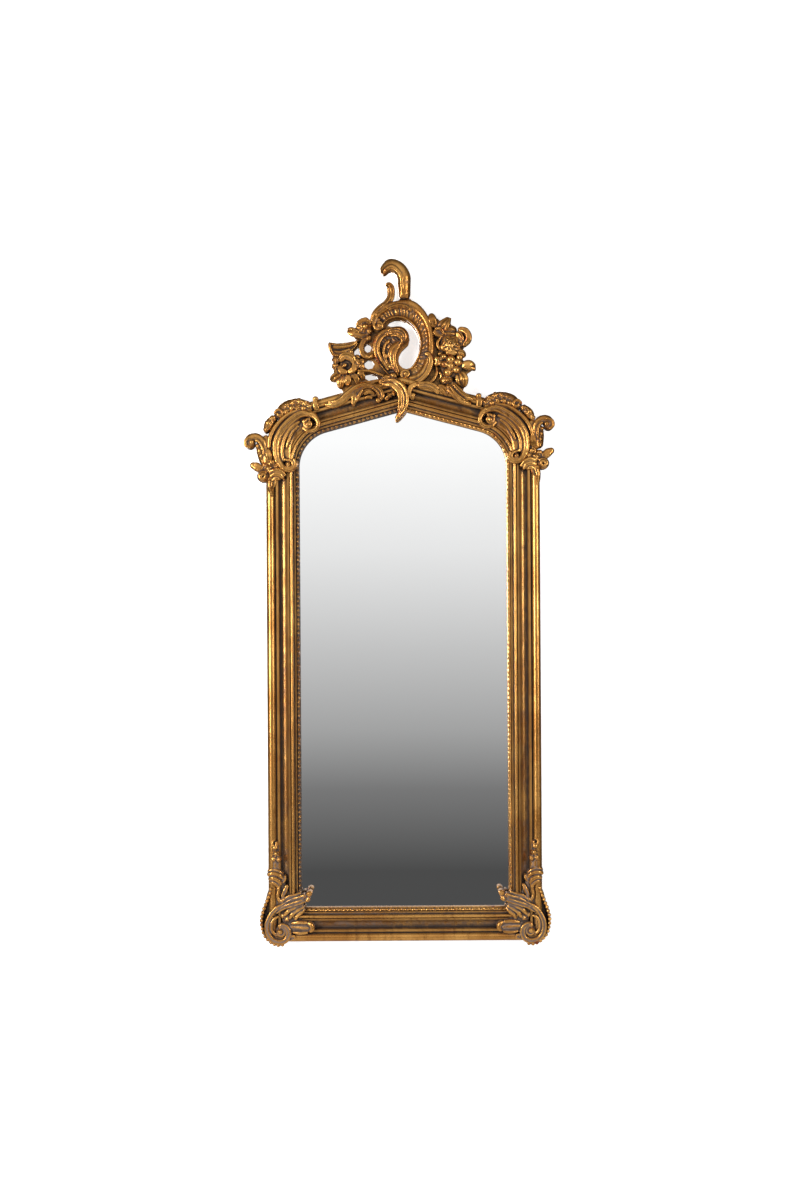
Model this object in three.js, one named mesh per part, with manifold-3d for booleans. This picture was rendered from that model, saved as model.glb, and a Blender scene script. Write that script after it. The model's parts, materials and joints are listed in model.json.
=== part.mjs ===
// Rococo pier mirror: an arched glass in a moulded wooden frame with applied
// carved ornament, hung on the wall by two D-ring hangers.
//
// Millimetres. +Z is up, +X is to the right seen from the front, +Y points at
// the wall. The origin lies on the back face of the bottom rail, on the centre
// line. Heights in front of that back face are called h, so y = -h.
import * as THREE from "three";
import { mergeVertices } from "three/addons/utils/BufferGeometryUtils.js";
import Module from "manifold-3d";

const wasm = await Module();
wasm.setup();

// ---- Driving dimensions ----------------------------------------------------

// Sight opening: the part of the glass that shows.
const SIGHT_WIDTH = 520;
const SIGHT_SIDE_HEIGHT = 1106;
const SHOULDER_RADIUS = 91;
const CROWN_SLOPE = THREE.MathUtils.degToRad(15);
const SHOULDER_STEPS = 5;

// Frame moulding: widths of its members, from the sight edge outwards.
const SLIP_WIDTH = 9;
const FLAT_WIDTH = 6.5;
const BEAD_WIDTH = 8;
const QUIRK_WIDTH = 1.5;
const LIST_WIDTH = 4.5;
const COVE_WIDTH = 22.5;
const FILLET_WIDTH = 6;
const GROOVE_WIDTH = 2.5;
const TORUS_WIDTH = 22;

// Heights of the same members above the back face.
const SLIP_EDGE_HEIGHT = 17;
const SLIP_TOP_HEIGHT = 26;
const FLAT_HEIGHT = 30;
const BEAD_SPRING_HEIGHT = 36;
const LIST_HEIGHT = 35;
const COVE_FLOOR_HEIGHT = 22;
const FILLET_HEIGHT = 37;
const TORUS_SPRING_HEIGHT = 29;

// Glass, backboard and the two steps of the rebate that hold them.
const GLASS_THICKNESS = 4;
const GLASS_LAP = 12;
const BOARD_THICKNESS = 5;
const BOARD_RECESS = 0.7;
const LEDGE_WIDTH = 8;

// The gap that stands for glue or a dry seat between two pieces, and the
// softening of a sharp edge.
const CLEAR = 0.3;
const ARRIS = 0.5;

// How far a carving's facets may lie from its drawing, and the slivers that are
// dressed off where it was fitted.
const FACET_TOLERANCE = 0.3;
const SEAM_TOLERANCE = 0.05;

// Screws of the backboard, the hangers and the crest plate.
const SHANK_RADIUS = 1.6;
const SCREW_LENGTH = 12;
const HEAD_RADIUS = 3.6;
const HEAD_HEIGHT = 1.8;
const BOARD_SCREW_MARGIN = 240;

// D-ring hangers on the backs of the stiles.
const HANGER_DROP = 110;
const STRAP_WIDTH = 18;
const STRAP_LENGTH = 62;
const STRAP_THICKNESS = 1.5;
const STRAP_ROLL = THREE.MathUtils.degToRad(235);
const WIRE_RADIUS = 2;
const WIRE_SIDES = 6;
const RING_HALF_WIDTH = 15;
const RING_REACH = 28;
const RING_CORNER_RADIUS = 5;
const STRAP_SCREW_MARGIN = 8;
const STRAP_SCREW_PITCH = 16;

// Round wall pads on the feet of the stiles, which keep the frame off the wall.
const BUMPER_RADIUS = 9;
const BUMPER_THICKNESS = 8;
const BUMPER_CHAMFER = 2;
const BUMPER_RISE = 60;

// Crest: a pierced board above the apex, held by a screwed steel plate.
const BOARD_FRONT_HEIGHT = 14;
const CREST_PLATE_HALF_WIDTH = 28;
const CREST_PLATE_THICKNESS = 2;
const CREST_PLATE_DROP = 44;
const CREST_PLATE_RISE = 13;
const CREST_SCREW_SPREAD = 20;
const CREST_SCREW_INSET = 8;

// Carving: ten units of its drawings, the spacing of the cuts along a scroll, the
// widest reed that comes to a ridge, how far the pieces reach behind the
// moulding's top, and the string of beads.
const CARVING_MODULE = 10;
const CARVING_STEP = 24;
const RIDGED_HALF = 15;
const CROWN_DEPTH = 12;
const SIDE_DEPTH = 32;
const FACE_DEPTH = 16;
const PEARL_RADIUS = 5;
const PEARL_PITCH = 10.5;

// How many carving modules the crown's slope runs in the drawings of the crest's
// scroll leaves.
const CROWN_MODULE_COUNT = 19.255;

// The right upper corner is set a little further round the shoulder than the
// left one, and its plume a little further still.
const RIGHT_CORNER_TURN = THREE.MathUtils.degToRad(9);
const RIGHT_PLUME_TURN = THREE.MathUtils.degToRad(12);

// ---- Derived frame geometry ------------------------------------------------

// Where each member of the moulding starts, outwards from the sight edge.
const S_FLAT = SLIP_WIDTH;
const S_BEAD = S_FLAT + FLAT_WIDTH;
const S_LIST = S_BEAD + BEAD_WIDTH + QUIRK_WIDTH;
const S_COVE = S_LIST + LIST_WIDTH;
const S_FILLET = S_COVE + COVE_WIDTH;
const S_TORUS = S_FILLET + FILLET_WIDTH + GROOVE_WIDTH;
const MOULDING_WIDTH = S_TORUS + TORUS_WIDTH;
const MOULDING_TOP = TORUS_SPRING_HEIGHT + TORUS_WIDTH / 2;

// Rebate: the board lies on the ledge, the glass between the board and the lip.
const LEDGE_HEIGHT = BOARD_RECESS + BOARD_THICKNESS + CLEAR;
const GLASS_FRONT = LEDGE_HEIGHT + GLASS_THICKNESS;
const LIP_HEIGHT = GLASS_FRONT + CLEAR;
const S_LEDGE = GLASS_LAP + 2;
const S_BACK = S_LEDGE + LEDGE_WIDTH;

const SIGHT_BOTTOM = MOULDING_WIDTH / 2;
const SHOULDER_X = SIGHT_WIDTH / 2 - SHOULDER_RADIUS;
const SHOULDER_Z = SIGHT_BOTTOM + SIGHT_SIDE_HEIGHT;
const SLOPE_RUN = SHOULDER_X + SHOULDER_RADIUS * Math.sin(CROWN_SLOPE);
const SIGHT_APEX =
  SHOULDER_Z + SHOULDER_RADIUS * Math.cos(CROWN_SLOPE) + SLOPE_RUN * Math.tan(CROWN_SLOPE);
const FRAME_APEX = SIGHT_APEX + MOULDING_WIDTH / Math.cos(CROWN_SLOPE);
const FRAME_BOTTOM = SIGHT_BOTTOM - MOULDING_WIDTH;
const FRAME_HALF_WIDTH = SIGHT_WIDTH / 2 + MOULDING_WIDTH;

// ---- Materials -------------------------------------------------------------

const GILT = { color: 0xb98a3c, roughness: 0.38, metalness: 0.85 };
const GILT_SHADE = { color: 0x9c7438, roughness: 0.45, metalness: 0.8 };
const SILVERED = { color: 0xdfe3e4, roughness: 0.03, metalness: 1 };
const HARDBOARD = { color: 0x6f4f33, roughness: 0.85, metalness: 0 };
const ZINC = { color: 0xa9abad, roughness: 0.4, metalness: 1 };
const BRASS = { color: 0xb79a55, roughness: 0.35, metalness: 1 };
const RUBBER = { color: 0x2b2a29, roughness: 0.9, metalness: 0 };

// ---- Solids ----------------------------------------------------------------

// A closed three.js geometry as a solid, turned so that its faces point out.
function solidOf(geometry) {
  const bare = geometry.clone();
  for (const name of Object.keys(bare.attributes)) {
    if (name !== "position") bare.deleteAttribute(name);
  }
  const merged = mergeVertices(bare, 1e-4);
  const vertProperties = new Float32Array(merged.attributes.position.array);
  const triVerts = new Uint32Array(merged.index.array);
  const solid = new wasm.Manifold(new wasm.Mesh({ numProp: 3, vertProperties, triVerts }));
  if (solid.volume() > 0) return solid;
  for (let i = 0; i < triVerts.length; i += 3) {
    [triVerts[i + 1], triVerts[i + 2]] = [triVerts[i + 2], triVerts[i + 1]];
  }
  return new wasm.Manifold(new wasm.Mesh({ numProp: 3, vertProperties, triVerts }));
}

function geometryOf(solid) {
  const mesh = solid.getMesh();
  const positions = new Float32Array(mesh.numVert * 3);
  for (let i = 0; i < mesh.numVert; i++) {
    const start = i * mesh.numProp;
    positions.set(mesh.vertProperties.subarray(start, start + 3), i * 3);
  }
  const geometry = new THREE.BufferGeometry();
  geometry.setAttribute("position", new THREE.BufferAttribute(positions, 3));
  geometry.setIndex(new THREE.BufferAttribute(new Uint32Array(mesh.triVerts), 1));
  geometry.computeVertexNormals();
  return geometry;
}

const union = (solids) => solids.reduce((a, b) => a.add(b));

// What a cut leaves of a piece, without its loose chips.
function mainBody(solid) {
  return solid.decompose().reduce((a, b) => (b.volume() > a.volume() ? b : a));
}

// Triangles that fill a flat ring of points, wound along the ring.
function capTriangles(ring) {
  const normal = new THREE.Vector3();
  ring.forEach((p, i) => normal.add(new THREE.Vector3().crossVectors(p, ring[(i + 1) % ring.length])));
  normal.normalize();
  const side = Math.abs(normal.y) < 0.9 ? new THREE.Vector3(0, 1, 0) : new THREE.Vector3(1, 0, 0);
  const u = new THREE.Vector3().crossVectors(side, normal).normalize();
  const v = new THREE.Vector3().crossVectors(normal, u);
  return THREE.ShapeUtils.triangulateShape(ring.map((p) => new THREE.Vector2(p.dot(u), p.dot(v))), []);
}

// A closed skin over rings of points that all have the same count. The end
// rings are capped, or the last is joined to the first when closed is true.
function loft(rings, closed = false) {
  const count = rings[0].length;
  const index = [];
  const bays = closed ? rings.length : rings.length - 1;
  for (let i = 0; i < bays; i++) {
    const a = i * count;
    const b = ((i + 1) % rings.length) * count;
    for (let j = 0; j < count; j++) {
      const k = (j + 1) % count;
      index.push(a + j, a + k, b + k, a + j, b + k, b + j);
    }
  }
  if (!closed) {
    const end = (rings.length - 1) * count;
    for (const [p, q, r] of capTriangles(rings[0])) index.push(p, r, q);
    const last = capTriangles(rings[rings.length - 1]);
    for (const [p, q, r] of last) index.push(end + p, end + q, end + r);
  }
  const positions = rings.flat().flatMap((p) => [p.x, p.y, p.z]);
  const geometry = new THREE.BufferGeometry();
  geometry.setAttribute("position", new THREE.Float32BufferAttribute(positions, 3));
  geometry.setIndex(index);
  return solidOf(geometry);
}

// A flat plate with an outline in X and Z, from height low to height top.
function plate(outline, low, top) {
  return loft([low, top].map((h) => outline.map(([x, z]) => new THREE.Vector3(x, -h, z))));
}

// A turned piece on an axis along Y. The profile is [radius, h] pairs.
function turned(profile, x, z, sides) {
  const points = profile.map(([r, h]) => new THREE.Vector2(r, -h));
  return solidOf(new THREE.LatheGeometry(points, sides)).translate([x, 0, z]);
}

// ---- Frame moulding --------------------------------------------------------

function arc(cs, ch, rs, rh, from, to, count) {
  return Array.from({ length: count + 1 }, (_, i) => {
    const angle = THREE.MathUtils.degToRad(from + ((to - from) * i) / count);
    return [cs + rs * Math.cos(angle), ch + rh * Math.sin(angle)];
  });
}

const COVE_END = S_FILLET - 3;
const COVE_TOP = LIST_HEIGHT - 2;

// Section of the main moulding as [s, h]: s runs outwards from the sight edge.
function mouldingSection() {
  const bead = BEAD_WIDTH / 2;
  const torus = TORUS_WIDTH / 2;
  const hollow = COVE_END - S_COVE - 1;
  return [
    [S_FLAT, LIP_HEIGHT],
    [S_FLAT, FLAT_HEIGHT],
    [S_BEAD - ARRIS, FLAT_HEIGHT + ARRIS],
    ...arc(S_BEAD + bead, BEAD_SPRING_HEIGHT, bead, bead, 180, 0, 5),
    [S_LIST - QUIRK_WIDTH / 2, LIST_HEIGHT - 2],
    [S_LIST, LIST_HEIGHT],
    [S_COVE - ARRIS, LIST_HEIGHT],
    ...arc(COVE_END, COVE_TOP, hollow, COVE_TOP - COVE_FLOOR_HEIGHT, 180, 270, 3),
    [S_FILLET, FILLET_HEIGHT],
    [S_FILLET + FILLET_WIDTH, FILLET_HEIGHT],
    [S_FILLET + FILLET_WIDTH + GROOVE_WIDTH / 2, TORUS_SPRING_HEIGHT + 2],
    ...arc(S_TORUS + torus, TORUS_SPRING_HEIGHT, torus, torus, 170, 0, 5),
    [MOULDING_WIDTH, 0],
    [S_BACK, 0],
    [S_BACK, LEDGE_HEIGHT],
    [S_LEDGE, LEDGE_HEIGHT],
    [S_LEDGE, LIP_HEIGHT],
  ];
}

// Section of the sight slip, the narrow carved member that laps over the glass.
function slipSection() {
  const width = SLIP_WIDTH - CLEAR;
  const rise = SLIP_TOP_HEIGHT - SLIP_EDGE_HEIGHT;
  return [
    [0, LIP_HEIGHT],
    [0, SLIP_EDGE_HEIGHT],
    ...arc(width * 0.62, SLIP_EDGE_HEIGHT, width * 0.5, rise, 150, 45, 3),
    [width, SLIP_TOP_HEIGHT - rise / 2],
    [width, LIP_HEIGHT],
  ];
}

// What the carving is fitted over: the moulding and slip in broad facets, a
// clearance larger all over.
function seatSection() {
  const spread = 1 / Math.cos(THREE.MathUtils.degToRad(22.5));
  const bead = (BEAD_WIDTH / 2 + CLEAR) * spread;
  const torus = (TORUS_WIDTH / 2 + CLEAR) * spread;
  return [
    [-CLEAR, LIP_HEIGHT],
    [-CLEAR, SLIP_TOP_HEIGHT + CLEAR],
    [S_FLAT, FLAT_HEIGHT + CLEAR],
    [S_BEAD - ARRIS - CLEAR, FLAT_HEIGHT + ARRIS + CLEAR],
    ...arc(S_BEAD + BEAD_WIDTH / 2, BEAD_SPRING_HEIGHT, bead, bead, 157.5, 22.5, 3),
    [S_COVE + CLEAR, LIST_HEIGHT + CLEAR],
    [COVE_END - CLEAR, COVE_FLOOR_HEIGHT + COVE_WIDTH * 0.25],
    [S_FILLET - CLEAR, FILLET_HEIGHT + CLEAR],
    [S_FILLET + FILLET_WIDTH + CLEAR, FILLET_HEIGHT + CLEAR],
    ...arc(S_TORUS + TORUS_WIDTH / 2, TORUS_SPRING_HEIGHT, torus, torus, 112.5, 22.5, 2),
    [MOULDING_WIDTH + CLEAR, TORUS_SPRING_HEIGHT],
    [MOULDING_WIDTH + CLEAR, -CLEAR],
    [S_BACK, -CLEAR],
  ];
}

// A station of a rail: the place of s = 0, and the way and rate that s grows.
const station = (x, z, dx, dz) => ({ x, z, dx, dz });

function railSolid(section, stations) {
  const point = ({ x, z, dx, dz }, [s, h]) => new THREE.Vector3(x + dx * s, -h, z + dz * s);
  return loft(stations.map((at) => section.map((mark) => point(at, mark))));
}

// The sight line's runs. Each end keeps back by gap from its mitre or butt.
function bottomStations(gap) {
  const end = SIGHT_WIDTH / 2 - gap;
  return [station(-end, SIGHT_BOTTOM, -1, -1), station(end, SIGHT_BOTTOM, 1, -1)];
}

function leftStileStations(gap) {
  const x = -SIGHT_WIDTH / 2;
  return [station(x, SIGHT_BOTTOM + gap, -1, -1), station(x, SHOULDER_Z - gap, -1, 0)];
}

function leftTopStations(gap) {
  const turn = Math.PI / 2 - CROWN_SLOPE;
  const bend = Array.from({ length: SHOULDER_STEPS + 1 }, (_, i) => {
    const angle = Math.PI - (turn * i) / SHOULDER_STEPS;
    const dx = Math.cos(angle);
    const dz = Math.sin(angle);
    return station(SHOULDER_RADIUS * dx - SHOULDER_X, SHOULDER_Z + SHOULDER_RADIUS * dz, dx, dz);
  });
  const apex = SIGHT_APEX - gap * Math.tan(CROWN_SLOPE);
  return [...bend, station(-gap, apex, 0, 1 / Math.cos(CROWN_SLOPE))];
}

// The whole sight line moved outwards by margin, as a closed outline.
function sightOutline(margin) {
  const top = leftTopStations(0).map(({ x, z, dx, dz }) => [x + dx * margin, z + dz * margin]);
  const left = [[-SIGHT_WIDTH / 2 - margin, SIGHT_BOTTOM - margin], ...top];
  const right = left.slice(0, -1).map(([x, z]) => [-x, z]);
  return [...left, ...right.reverse()];
}

const mirrored = (solid) => solid.mirror([1, 0, 0]);

// The five lengths of a moulding round the glass: left, right, bottom and tops.
function rails(section, gap) {
  const stile = railSolid(section, leftStileStations(gap));
  const top = railSolid(section, leftTopStations(gap));
  return {
    left: stile,
    right: mirrored(stile),
    bottom: railSolid(section, bottomStations(gap)),
    leftTop: top,
    rightTop: mirrored(top),
  };
}

// ---- Screws ----------------------------------------------------------------

// A pan-head screw driven towards the front, its head seated at height seat.
function screw(x, z, seat) {
  const under = seat - CLEAR;
  const tip = under + SCREW_LENGTH;
  const top = under - HEAD_HEIGHT;
  const profile = [
    [0, top],
    [HEAD_RADIUS * 0.7, top],
    [HEAD_RADIUS, under - HEAD_HEIGHT * 0.4],
    [HEAD_RADIUS, under],
    [SHANK_RADIUS, under],
    [SHANK_RADIUS, tip - 2 * SHANK_RADIUS],
    [0, tip],
  ];
  return turned(profile, x, z, 8);
}

// The hole for the same screw, through everything from behind its head.
function screwHole(x, z, seat) {
  const r = SHANK_RADIUS + CLEAR;
  const low = seat - HEAD_HEIGHT;
  const deep = seat + SCREW_LENGTH + CLEAR;
  return turned([[0, low], [r, low], [r, deep], [0, deep]], x, z, 8);
}

// ---- Hanger ----------------------------------------------------------------

const EYE_RADIUS = WIRE_RADIUS + CLEAR;
const EYE_HEIGHT = -(CLEAR + STRAP_THICKNESS + EYE_RADIUS);
const STRAP_SEAT = -(CLEAR + STRAP_THICKNESS);
const HANGER_X = FRAME_HALF_WIDTH - (MOULDING_WIDTH - S_BACK) / 2;
const HANGER_Z = SHOULDER_Z - HANGER_DROP;
const strapScrewDepths = [0, 1].map((i) => STRAP_LENGTH - STRAP_SCREW_MARGIN - i * STRAP_SCREW_PITCH);

// Folded strap: a flat tongue, screwed on, whose top is rolled into an eye.
function hangerStrap(x, z) {
  const roll = (radius) =>
    Array.from({ length: 10 }, (_, i) => {
      const a = (STRAP_ROLL * i) / 9;
      return [EYE_HEIGHT + radius * Math.cos(a), radius * Math.sin(a)];
    });
  const outer = roll(EYE_RADIUS + STRAP_THICKNESS);
  const inner = roll(EYE_RADIUS).reverse();
  const end = -STRAP_LENGTH;
  const profile = [[-CLEAR, end], ...outer, ...inner, [STRAP_SEAT, end]];
  const half = STRAP_WIDTH / 2;
  const side = (px) => profile.map(([h, dz]) => new THREE.Vector3(px, -h, z + dz));
  const rings = [side(x - half), side(x + half)];
  const round = arc(x, z - STRAP_LENGTH + half, half, half, 180, 360, 8);
  const behind = EYE_HEIGHT - EYE_RADIUS - 2 * STRAP_THICKNESS;
  const tongue = plate([...round, [x + half, z + 2 * half], [x - half, z + 2 * half]], behind, 0);
  return loft(rings).intersect(tongue);
}

// Closed ring of round wire: a straight bar in the eye and a round bow below.
function hangerRing(x, z) {
  const corner = RING_CORNER_RADIUS;
  const bowZ = -(RING_REACH - RING_HALF_WIDTH);
  const path = [
    ...arc(RING_HALF_WIDTH - corner, -corner, corner, corner, 90, 0, 3),
    ...arc(0, bowZ, RING_HALF_WIDTH, RING_HALF_WIDTH, 0, -180, 12),
    ...arc(corner - RING_HALF_WIDTH, -corner, corner, corner, 180, 90, 3),
  ];
  const rings = path.map(([px, pz], i) => {
    const [ax, az] = path[(i + path.length - 1) % path.length];
    const [bx, bz] = path[(i + 1) % path.length];
    const back = new THREE.Vector2(px - ax, pz - az).normalize();
    const ahead = new THREE.Vector2(bx - px, bz - pz).normalize();
    const across = new THREE.Vector2(-(back.y + ahead.y), back.x + ahead.x).normalize();
    const reach = WIRE_RADIUS / (across.x * -ahead.y + across.y * ahead.x);
    return Array.from({ length: WIRE_SIDES }, (_, j) => {
      const a = (2 * Math.PI * (j + 0.5)) / WIRE_SIDES;
      const r = reach * Math.cos(a);
      const y = -EYE_HEIGHT + WIRE_RADIUS * Math.sin(a);
      return new THREE.Vector3(x + px + across.x * r, y, z + pz + across.y * r);
    });
  });
  return loft(rings, true);
}

// ---- Carving tools ---------------------------------------------------------

// The unit of the carving drawings, and a length in those units.
const CARVING_UNIT = CARVING_MODULE / 10;
const inUnits = (length) => length / CARVING_UNIT;

// Value of a list at t from 0 to 1, eased from entry to entry.
function along(list, t) {
  if (!Array.isArray(list)) return list;
  const place = t * (list.length - 1);
  const i = Math.min(Math.floor(place), list.length - 2);
  const f = place - i;
  return THREE.MathUtils.lerp(list[i], list[i + 1], f * f * (3 - 2 * f));
}

function smooth(path, closed = false) {
  const points = path.map(([x, z]) => new THREE.Vector3(x, 0, z));
  return new THREE.CatmullRomCurve3(points, closed, "centripetal");
}

// A point at height h, offset sideways from a place on a line.
function besideLine(place, tangent, offset, h) {
  return new THREE.Vector3(place.x - tangent.z * offset, -h, place.z + tangent.x * offset);
}

// The rings of a piece joined bay by bay, so that a tight curl stays sound.
function joined(rings) {
  return wasm.Manifold.union(rings.slice(1).map((ring, i) => loft([rings[i], ring])));
}

// A scroll, reed or leaf: a domed section drawn along a smooth line of [x, z].
// Narrow ones come to a ridge, wide ones to a flat.
function stroke({ path, half, front, back = 0 }, grow) {
  const curve = smooth(path);
  const steps = Math.max(2, Math.round(curve.getLength() / inUnits(CARVING_STEP)));
  const crown = Math.max(...half) > inUnits(RIDGED_HALF) ? [-0.4, 0.4] : [0];
  const rings = [];
  for (let i = 0; i <= steps; i++) {
    const t = i / steps;
    const centre = curve.getPoint(t);
    const tangent = curve.getTangent(t);
    if (i === 0) centre.addScaledVector(tangent, -grow);
    if (i === steps) centre.addScaledVector(tangent, grow);
    const w = along(half, t) + grow;
    const top = along(front, t) + grow;
    const low = back - grow;
    const dome = Math.min(w * 0.9, (top - low) * 0.7);
    const spring = top - dome;
    const section = [[-1, low], [-1, spring], ...crown.map((a) => [a, top]), [1, spring], [1, low]];
    rings.push(section.map(([a, h]) => besideLine(centre, tangent, a * w, h)));
  }
  return joined(rings);
}

// A band between two edges with a rib on each and a hollow between them.
function band({ outer, inner, front, hollow, back = 0 }, grow) {
  const edges = [smooth(outer), smooth(inner)];
  const steps = Math.max(4, Math.round(edges[0].getLength() / inUnits(CARVING_STEP)));
  const rings = [];
  for (let i = 0; i <= steps; i++) {
    const t = i / steps;
    const [a, b] = edges.map((edge) => edge.getPoint(t));
    const way = b.clone().sub(a).normalize();
    const end = i === 0 ? -grow : i === steps ? grow : 0;
    const ahead = edges[0].getTangent(t).multiplyScalar(end);
    a.addScaledVector(way, -grow).add(ahead);
    b.addScaledVector(way, grow).add(ahead);
    const top = along(front, t) + grow;
    const dip = grow > 0 ? top : top - hollow;
    const low = back - grow;
    const rib = top - 3;
    const outerRib = [[0, low], [0, rib], [0.1, top], [0.28, dip]];
    const innerRib = [[0.78, dip], [0.92, top], [1, rib], [1, low]];
    const point = ([f, h]) => new THREE.Vector3(a.x + (b.x - a.x) * f, -h, a.z + (b.z - a.z) * f);
    rings.push([...outerRib, ...innerRib].map(point));
  }
  return joined(rings);
}

// A petal, berry or eye: a dome on a straight wall, its long axis at angle.
function boss({ at, size, angle = 0, front, back = 0, sides = 7 }, grow) {
  const turn = THREE.MathUtils.degToRad(angle);
  const low = back - grow;
  const top = front + grow;
  const dome = Math.min(size[0], size[1], (top - low) * 0.7);
  const levels = [[1, low], [1, top - dome], [0.5, top]];
  const ring = ([scale, h]) =>
    Array.from({ length: sides }, (_, i) => {
      const a = (2 * Math.PI * i) / sides;
      const u = (size[0] + grow) * scale * Math.cos(a);
      const v = (size[1] + grow) * scale * Math.sin(a);
      const x = at[0] + u * Math.cos(turn) - v * Math.sin(turn);
      return new THREE.Vector3(x, -h, at[1] + u * Math.sin(turn) + v * Math.cos(turn));
    });
  return loft(levels.map(ring));
}

// A flower: a ring of petals round an eye.
function flower({ at, reach, petal, count, front, back = 0, angle = 0 }, grow) {
  const petals = Array.from({ length: count }, (_, i) => {
    const degrees = angle + (360 * i) / count;
    const a = THREE.MathUtils.degToRad(degrees);
    const place = [at[0] + reach * Math.cos(a), at[1] + reach * Math.sin(a)];
    return boss({ at: place, size: petal, angle: degrees, front: front * 0.72, back, sides: 6 }, grow);
  });
  const eye = boss({ at, size: [reach * 0.7, reach * 0.7], front, back, sides: 6 }, grow);
  return union([eye, ...petals]);
}

// A string of pearls carved in one: each swells from the waist before it.
function pearls({ path, front, back = 0 }, grow) {
  const curve = smooth(path);
  const count = Math.round(curve.getLength() / inUnits(PEARL_PITCH));
  const pearl = inUnits(PEARL_RADIUS);
  const waist = pearl * 0.45;
  const places = Array.from({ length: count }, (_, i) => [
    [i, waist],
    [i + 0.26, pearl],
    [i + 0.74, pearl],
  ]).flat();
  const rings = [...places, [count, waist]].map(([at, radius]) => {
    const centre = curve.getPointAt(at / count);
    const tangent = curve.getTangentAt(at / count);
    const w = radius + grow;
    const top = front - pearl + w;
    const low = back - grow;
    const side = top - w * 0.8;
    const section = [[-1, low], [-1, side], [0, top], [1, side], [1, low]];
    return section.map(([a, h]) => besideLine(centre, tangent, a * w, h));
  });
  return loft(rings);
}

const TOOLS = { stroke, band, boss, flower, pearls };

// A carved piece: a list of tool cuts drawn round an anchor, with heights from
// a level. It can be mirrored and turned about the anchor. Called with a
// clearance it gives the same piece that much larger, to cut its neighbours.
function carving(cuts, { x, z, level, mirror = false, turn = 0 }) {
  return (clearance) => {
    const grow = inUnits(clearance);
    const cut = union(cuts.map(([tool, values]) => TOOLS[tool](values, grow)));
    const solid = cut.scale(CARVING_UNIT).simplify(FACET_TOLERANCE);
    const placed = mirror ? mirrored(solid) : solid;
    const degrees = THREE.MathUtils.radToDeg(turn);
    return placed.rotate([0, -degrees, 0]).translate([x, -level, z]);
  };
}

// ---- Crest -----------------------------------------------------------------

const CREST_LEVEL = BOARD_FRONT_HEIGHT + CLEAR;
const onBoard = { x: 0, z: FRAME_APEX, level: CREST_LEVEL };
const onCrown = { x: 0, z: FRAME_APEX, level: MOULDING_TOP };
const CROWN_BACK = -inUnits(CROWN_DEPTH);

// A line along the crown, drawn out or in with the crown's slope.
const CROWN_STRETCH = SLOPE_RUN / (CROWN_MODULE_COUNT * CARVING_MODULE);
const CROWN_FALL = (CROWN_STRETCH - 1) * Math.tan(CROWN_SLOPE);
const alongCrown = (path) => path.map(([x, z]) => [x * CROWN_STRETCH, z - Math.abs(x) * CROWN_FALL]);

const ringScroll = carving([
  ["band", {
    outer: [
      [-77, 128], [-72, 154], [-46, 178], [-8, 189], [28, 188], [55, 166], [72, 134], [79, 96],
      [79, 60], [70, 24], [48, -4], [16, -14],
    ],
    inner: [
      [-46, 126], [-40, 136], [-24, 144], [-3, 145], [19, 134], [35, 116], [44, 92], [45, 72],
      [39, 50], [30, 33], [21, 22], [11, 19],
    ],
    front: [18, 22, 24, 24, 24, 24, 22, 18],
    hollow: 7,
  }],
  ["boss", { at: [-59, 127], size: [18, 17], front: 23 }],
  ["boss", { at: [9, 4], size: [15, 15], front: 24 }],
  ["stroke", {
    path: [[-35, 224], [-28, 226], [-27, 208], [-35, 187], [-56, 170], [-75, 138]],
    half: [8, 10, 9, 8, 7, 5],
    front: [13, 17, 17, 20, 26, 21],
  }],
  ["stroke", {
    path: [[26, -16], [58, 2], [72, 38], [60, 53]],
    half: [5, 7, 6, 5],
    front: [22, 28, 30, 27],
  }],
], onBoard);

const shellLeaf = carving([
  ["band", {
    outer: [[-14, 121], [-44, 116], [-66, 100], [-74, 76], [-69, 49], [-52, 21], [-28, -4]],
    inner: [[8, 88], [-2, 78], [-14, 68], [-20, 57], [-22, 38], [-18, 20], [-8, 2]],
    front: [26, 30, 31, 30, 27, 24, 22],
    hollow: 9,
  }],
  ["stroke", {
    path: [[-46, 103], [-22, 111], [-4, 108], [5, 97], [2, 84]],
    half: [7, 11, 14, 13, 8],
    front: [28, 35, 39, 38, 32],
  }],
  ["stroke", { path: [[0, 80], [-18, 54], [-10, 10]], half: [4, 5, 4], front: [28, 30, 23] }],
  ["stroke", { path: [[-32, 96], [-45, 66], [-30, 20]], half: [4, 5, 3], front: [29, 29, 22] }],
], onBoard);

const tallPlume = carving([
  ["stroke", {
    path: [[-46, 253], [-41, 270], [-27, 280], [-8, 272], [5, 252], [6, 232], [7, 212], [7, 194]],
    half: [7, 13, 18, 17, 17, 17, 15, 18],
    front: [20, 27, 31, 31, 29, 27, 24, 22],
  }],
], onBoard);

const dropLeaf = carving([
  ["stroke", {
    path: [[-60, -17], [-32, -14], [-9, -28], [3, -52], [1, -80], [-16, -110]],
    half: [8, 14, 16, 14, 10, 5],
    front: [7, 12, 14, 15, 13, 8],
    back: CROWN_BACK,
  }],
  ["stroke", {
    path: [[-40, -11], [0, -28], [12, -56], [-6, -100]],
    half: [3, 4, 4, 3],
    front: [9, 17, 18, 10],
    back: CROWN_BACK,
  }],
], onCrown);

const leftScrollLeaf = carving([
  ["stroke", {
    path: alongCrown([
      [-196, -71], [-172, -70], [-150, -58], [-128, -38], [-104, -26], [-80, -24], [-60, -33],
      [-50, -50], [-60, -63],
    ]),
    half: [5, 10, 12, 12, 9, 7, 6, 6, 6],
    front: [3, 8, 10, 12, 12, 12, 12, 12, 12],
    back: CROWN_BACK,
  }],
  ["stroke", {
    path: alongCrown([[-104, -32], [-117, -50], [-125, -76]]),
    half: [7, 10, 5],
    front: [10, 9, 4],
    back: CROWN_BACK,
  }],
], onCrown);

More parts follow.
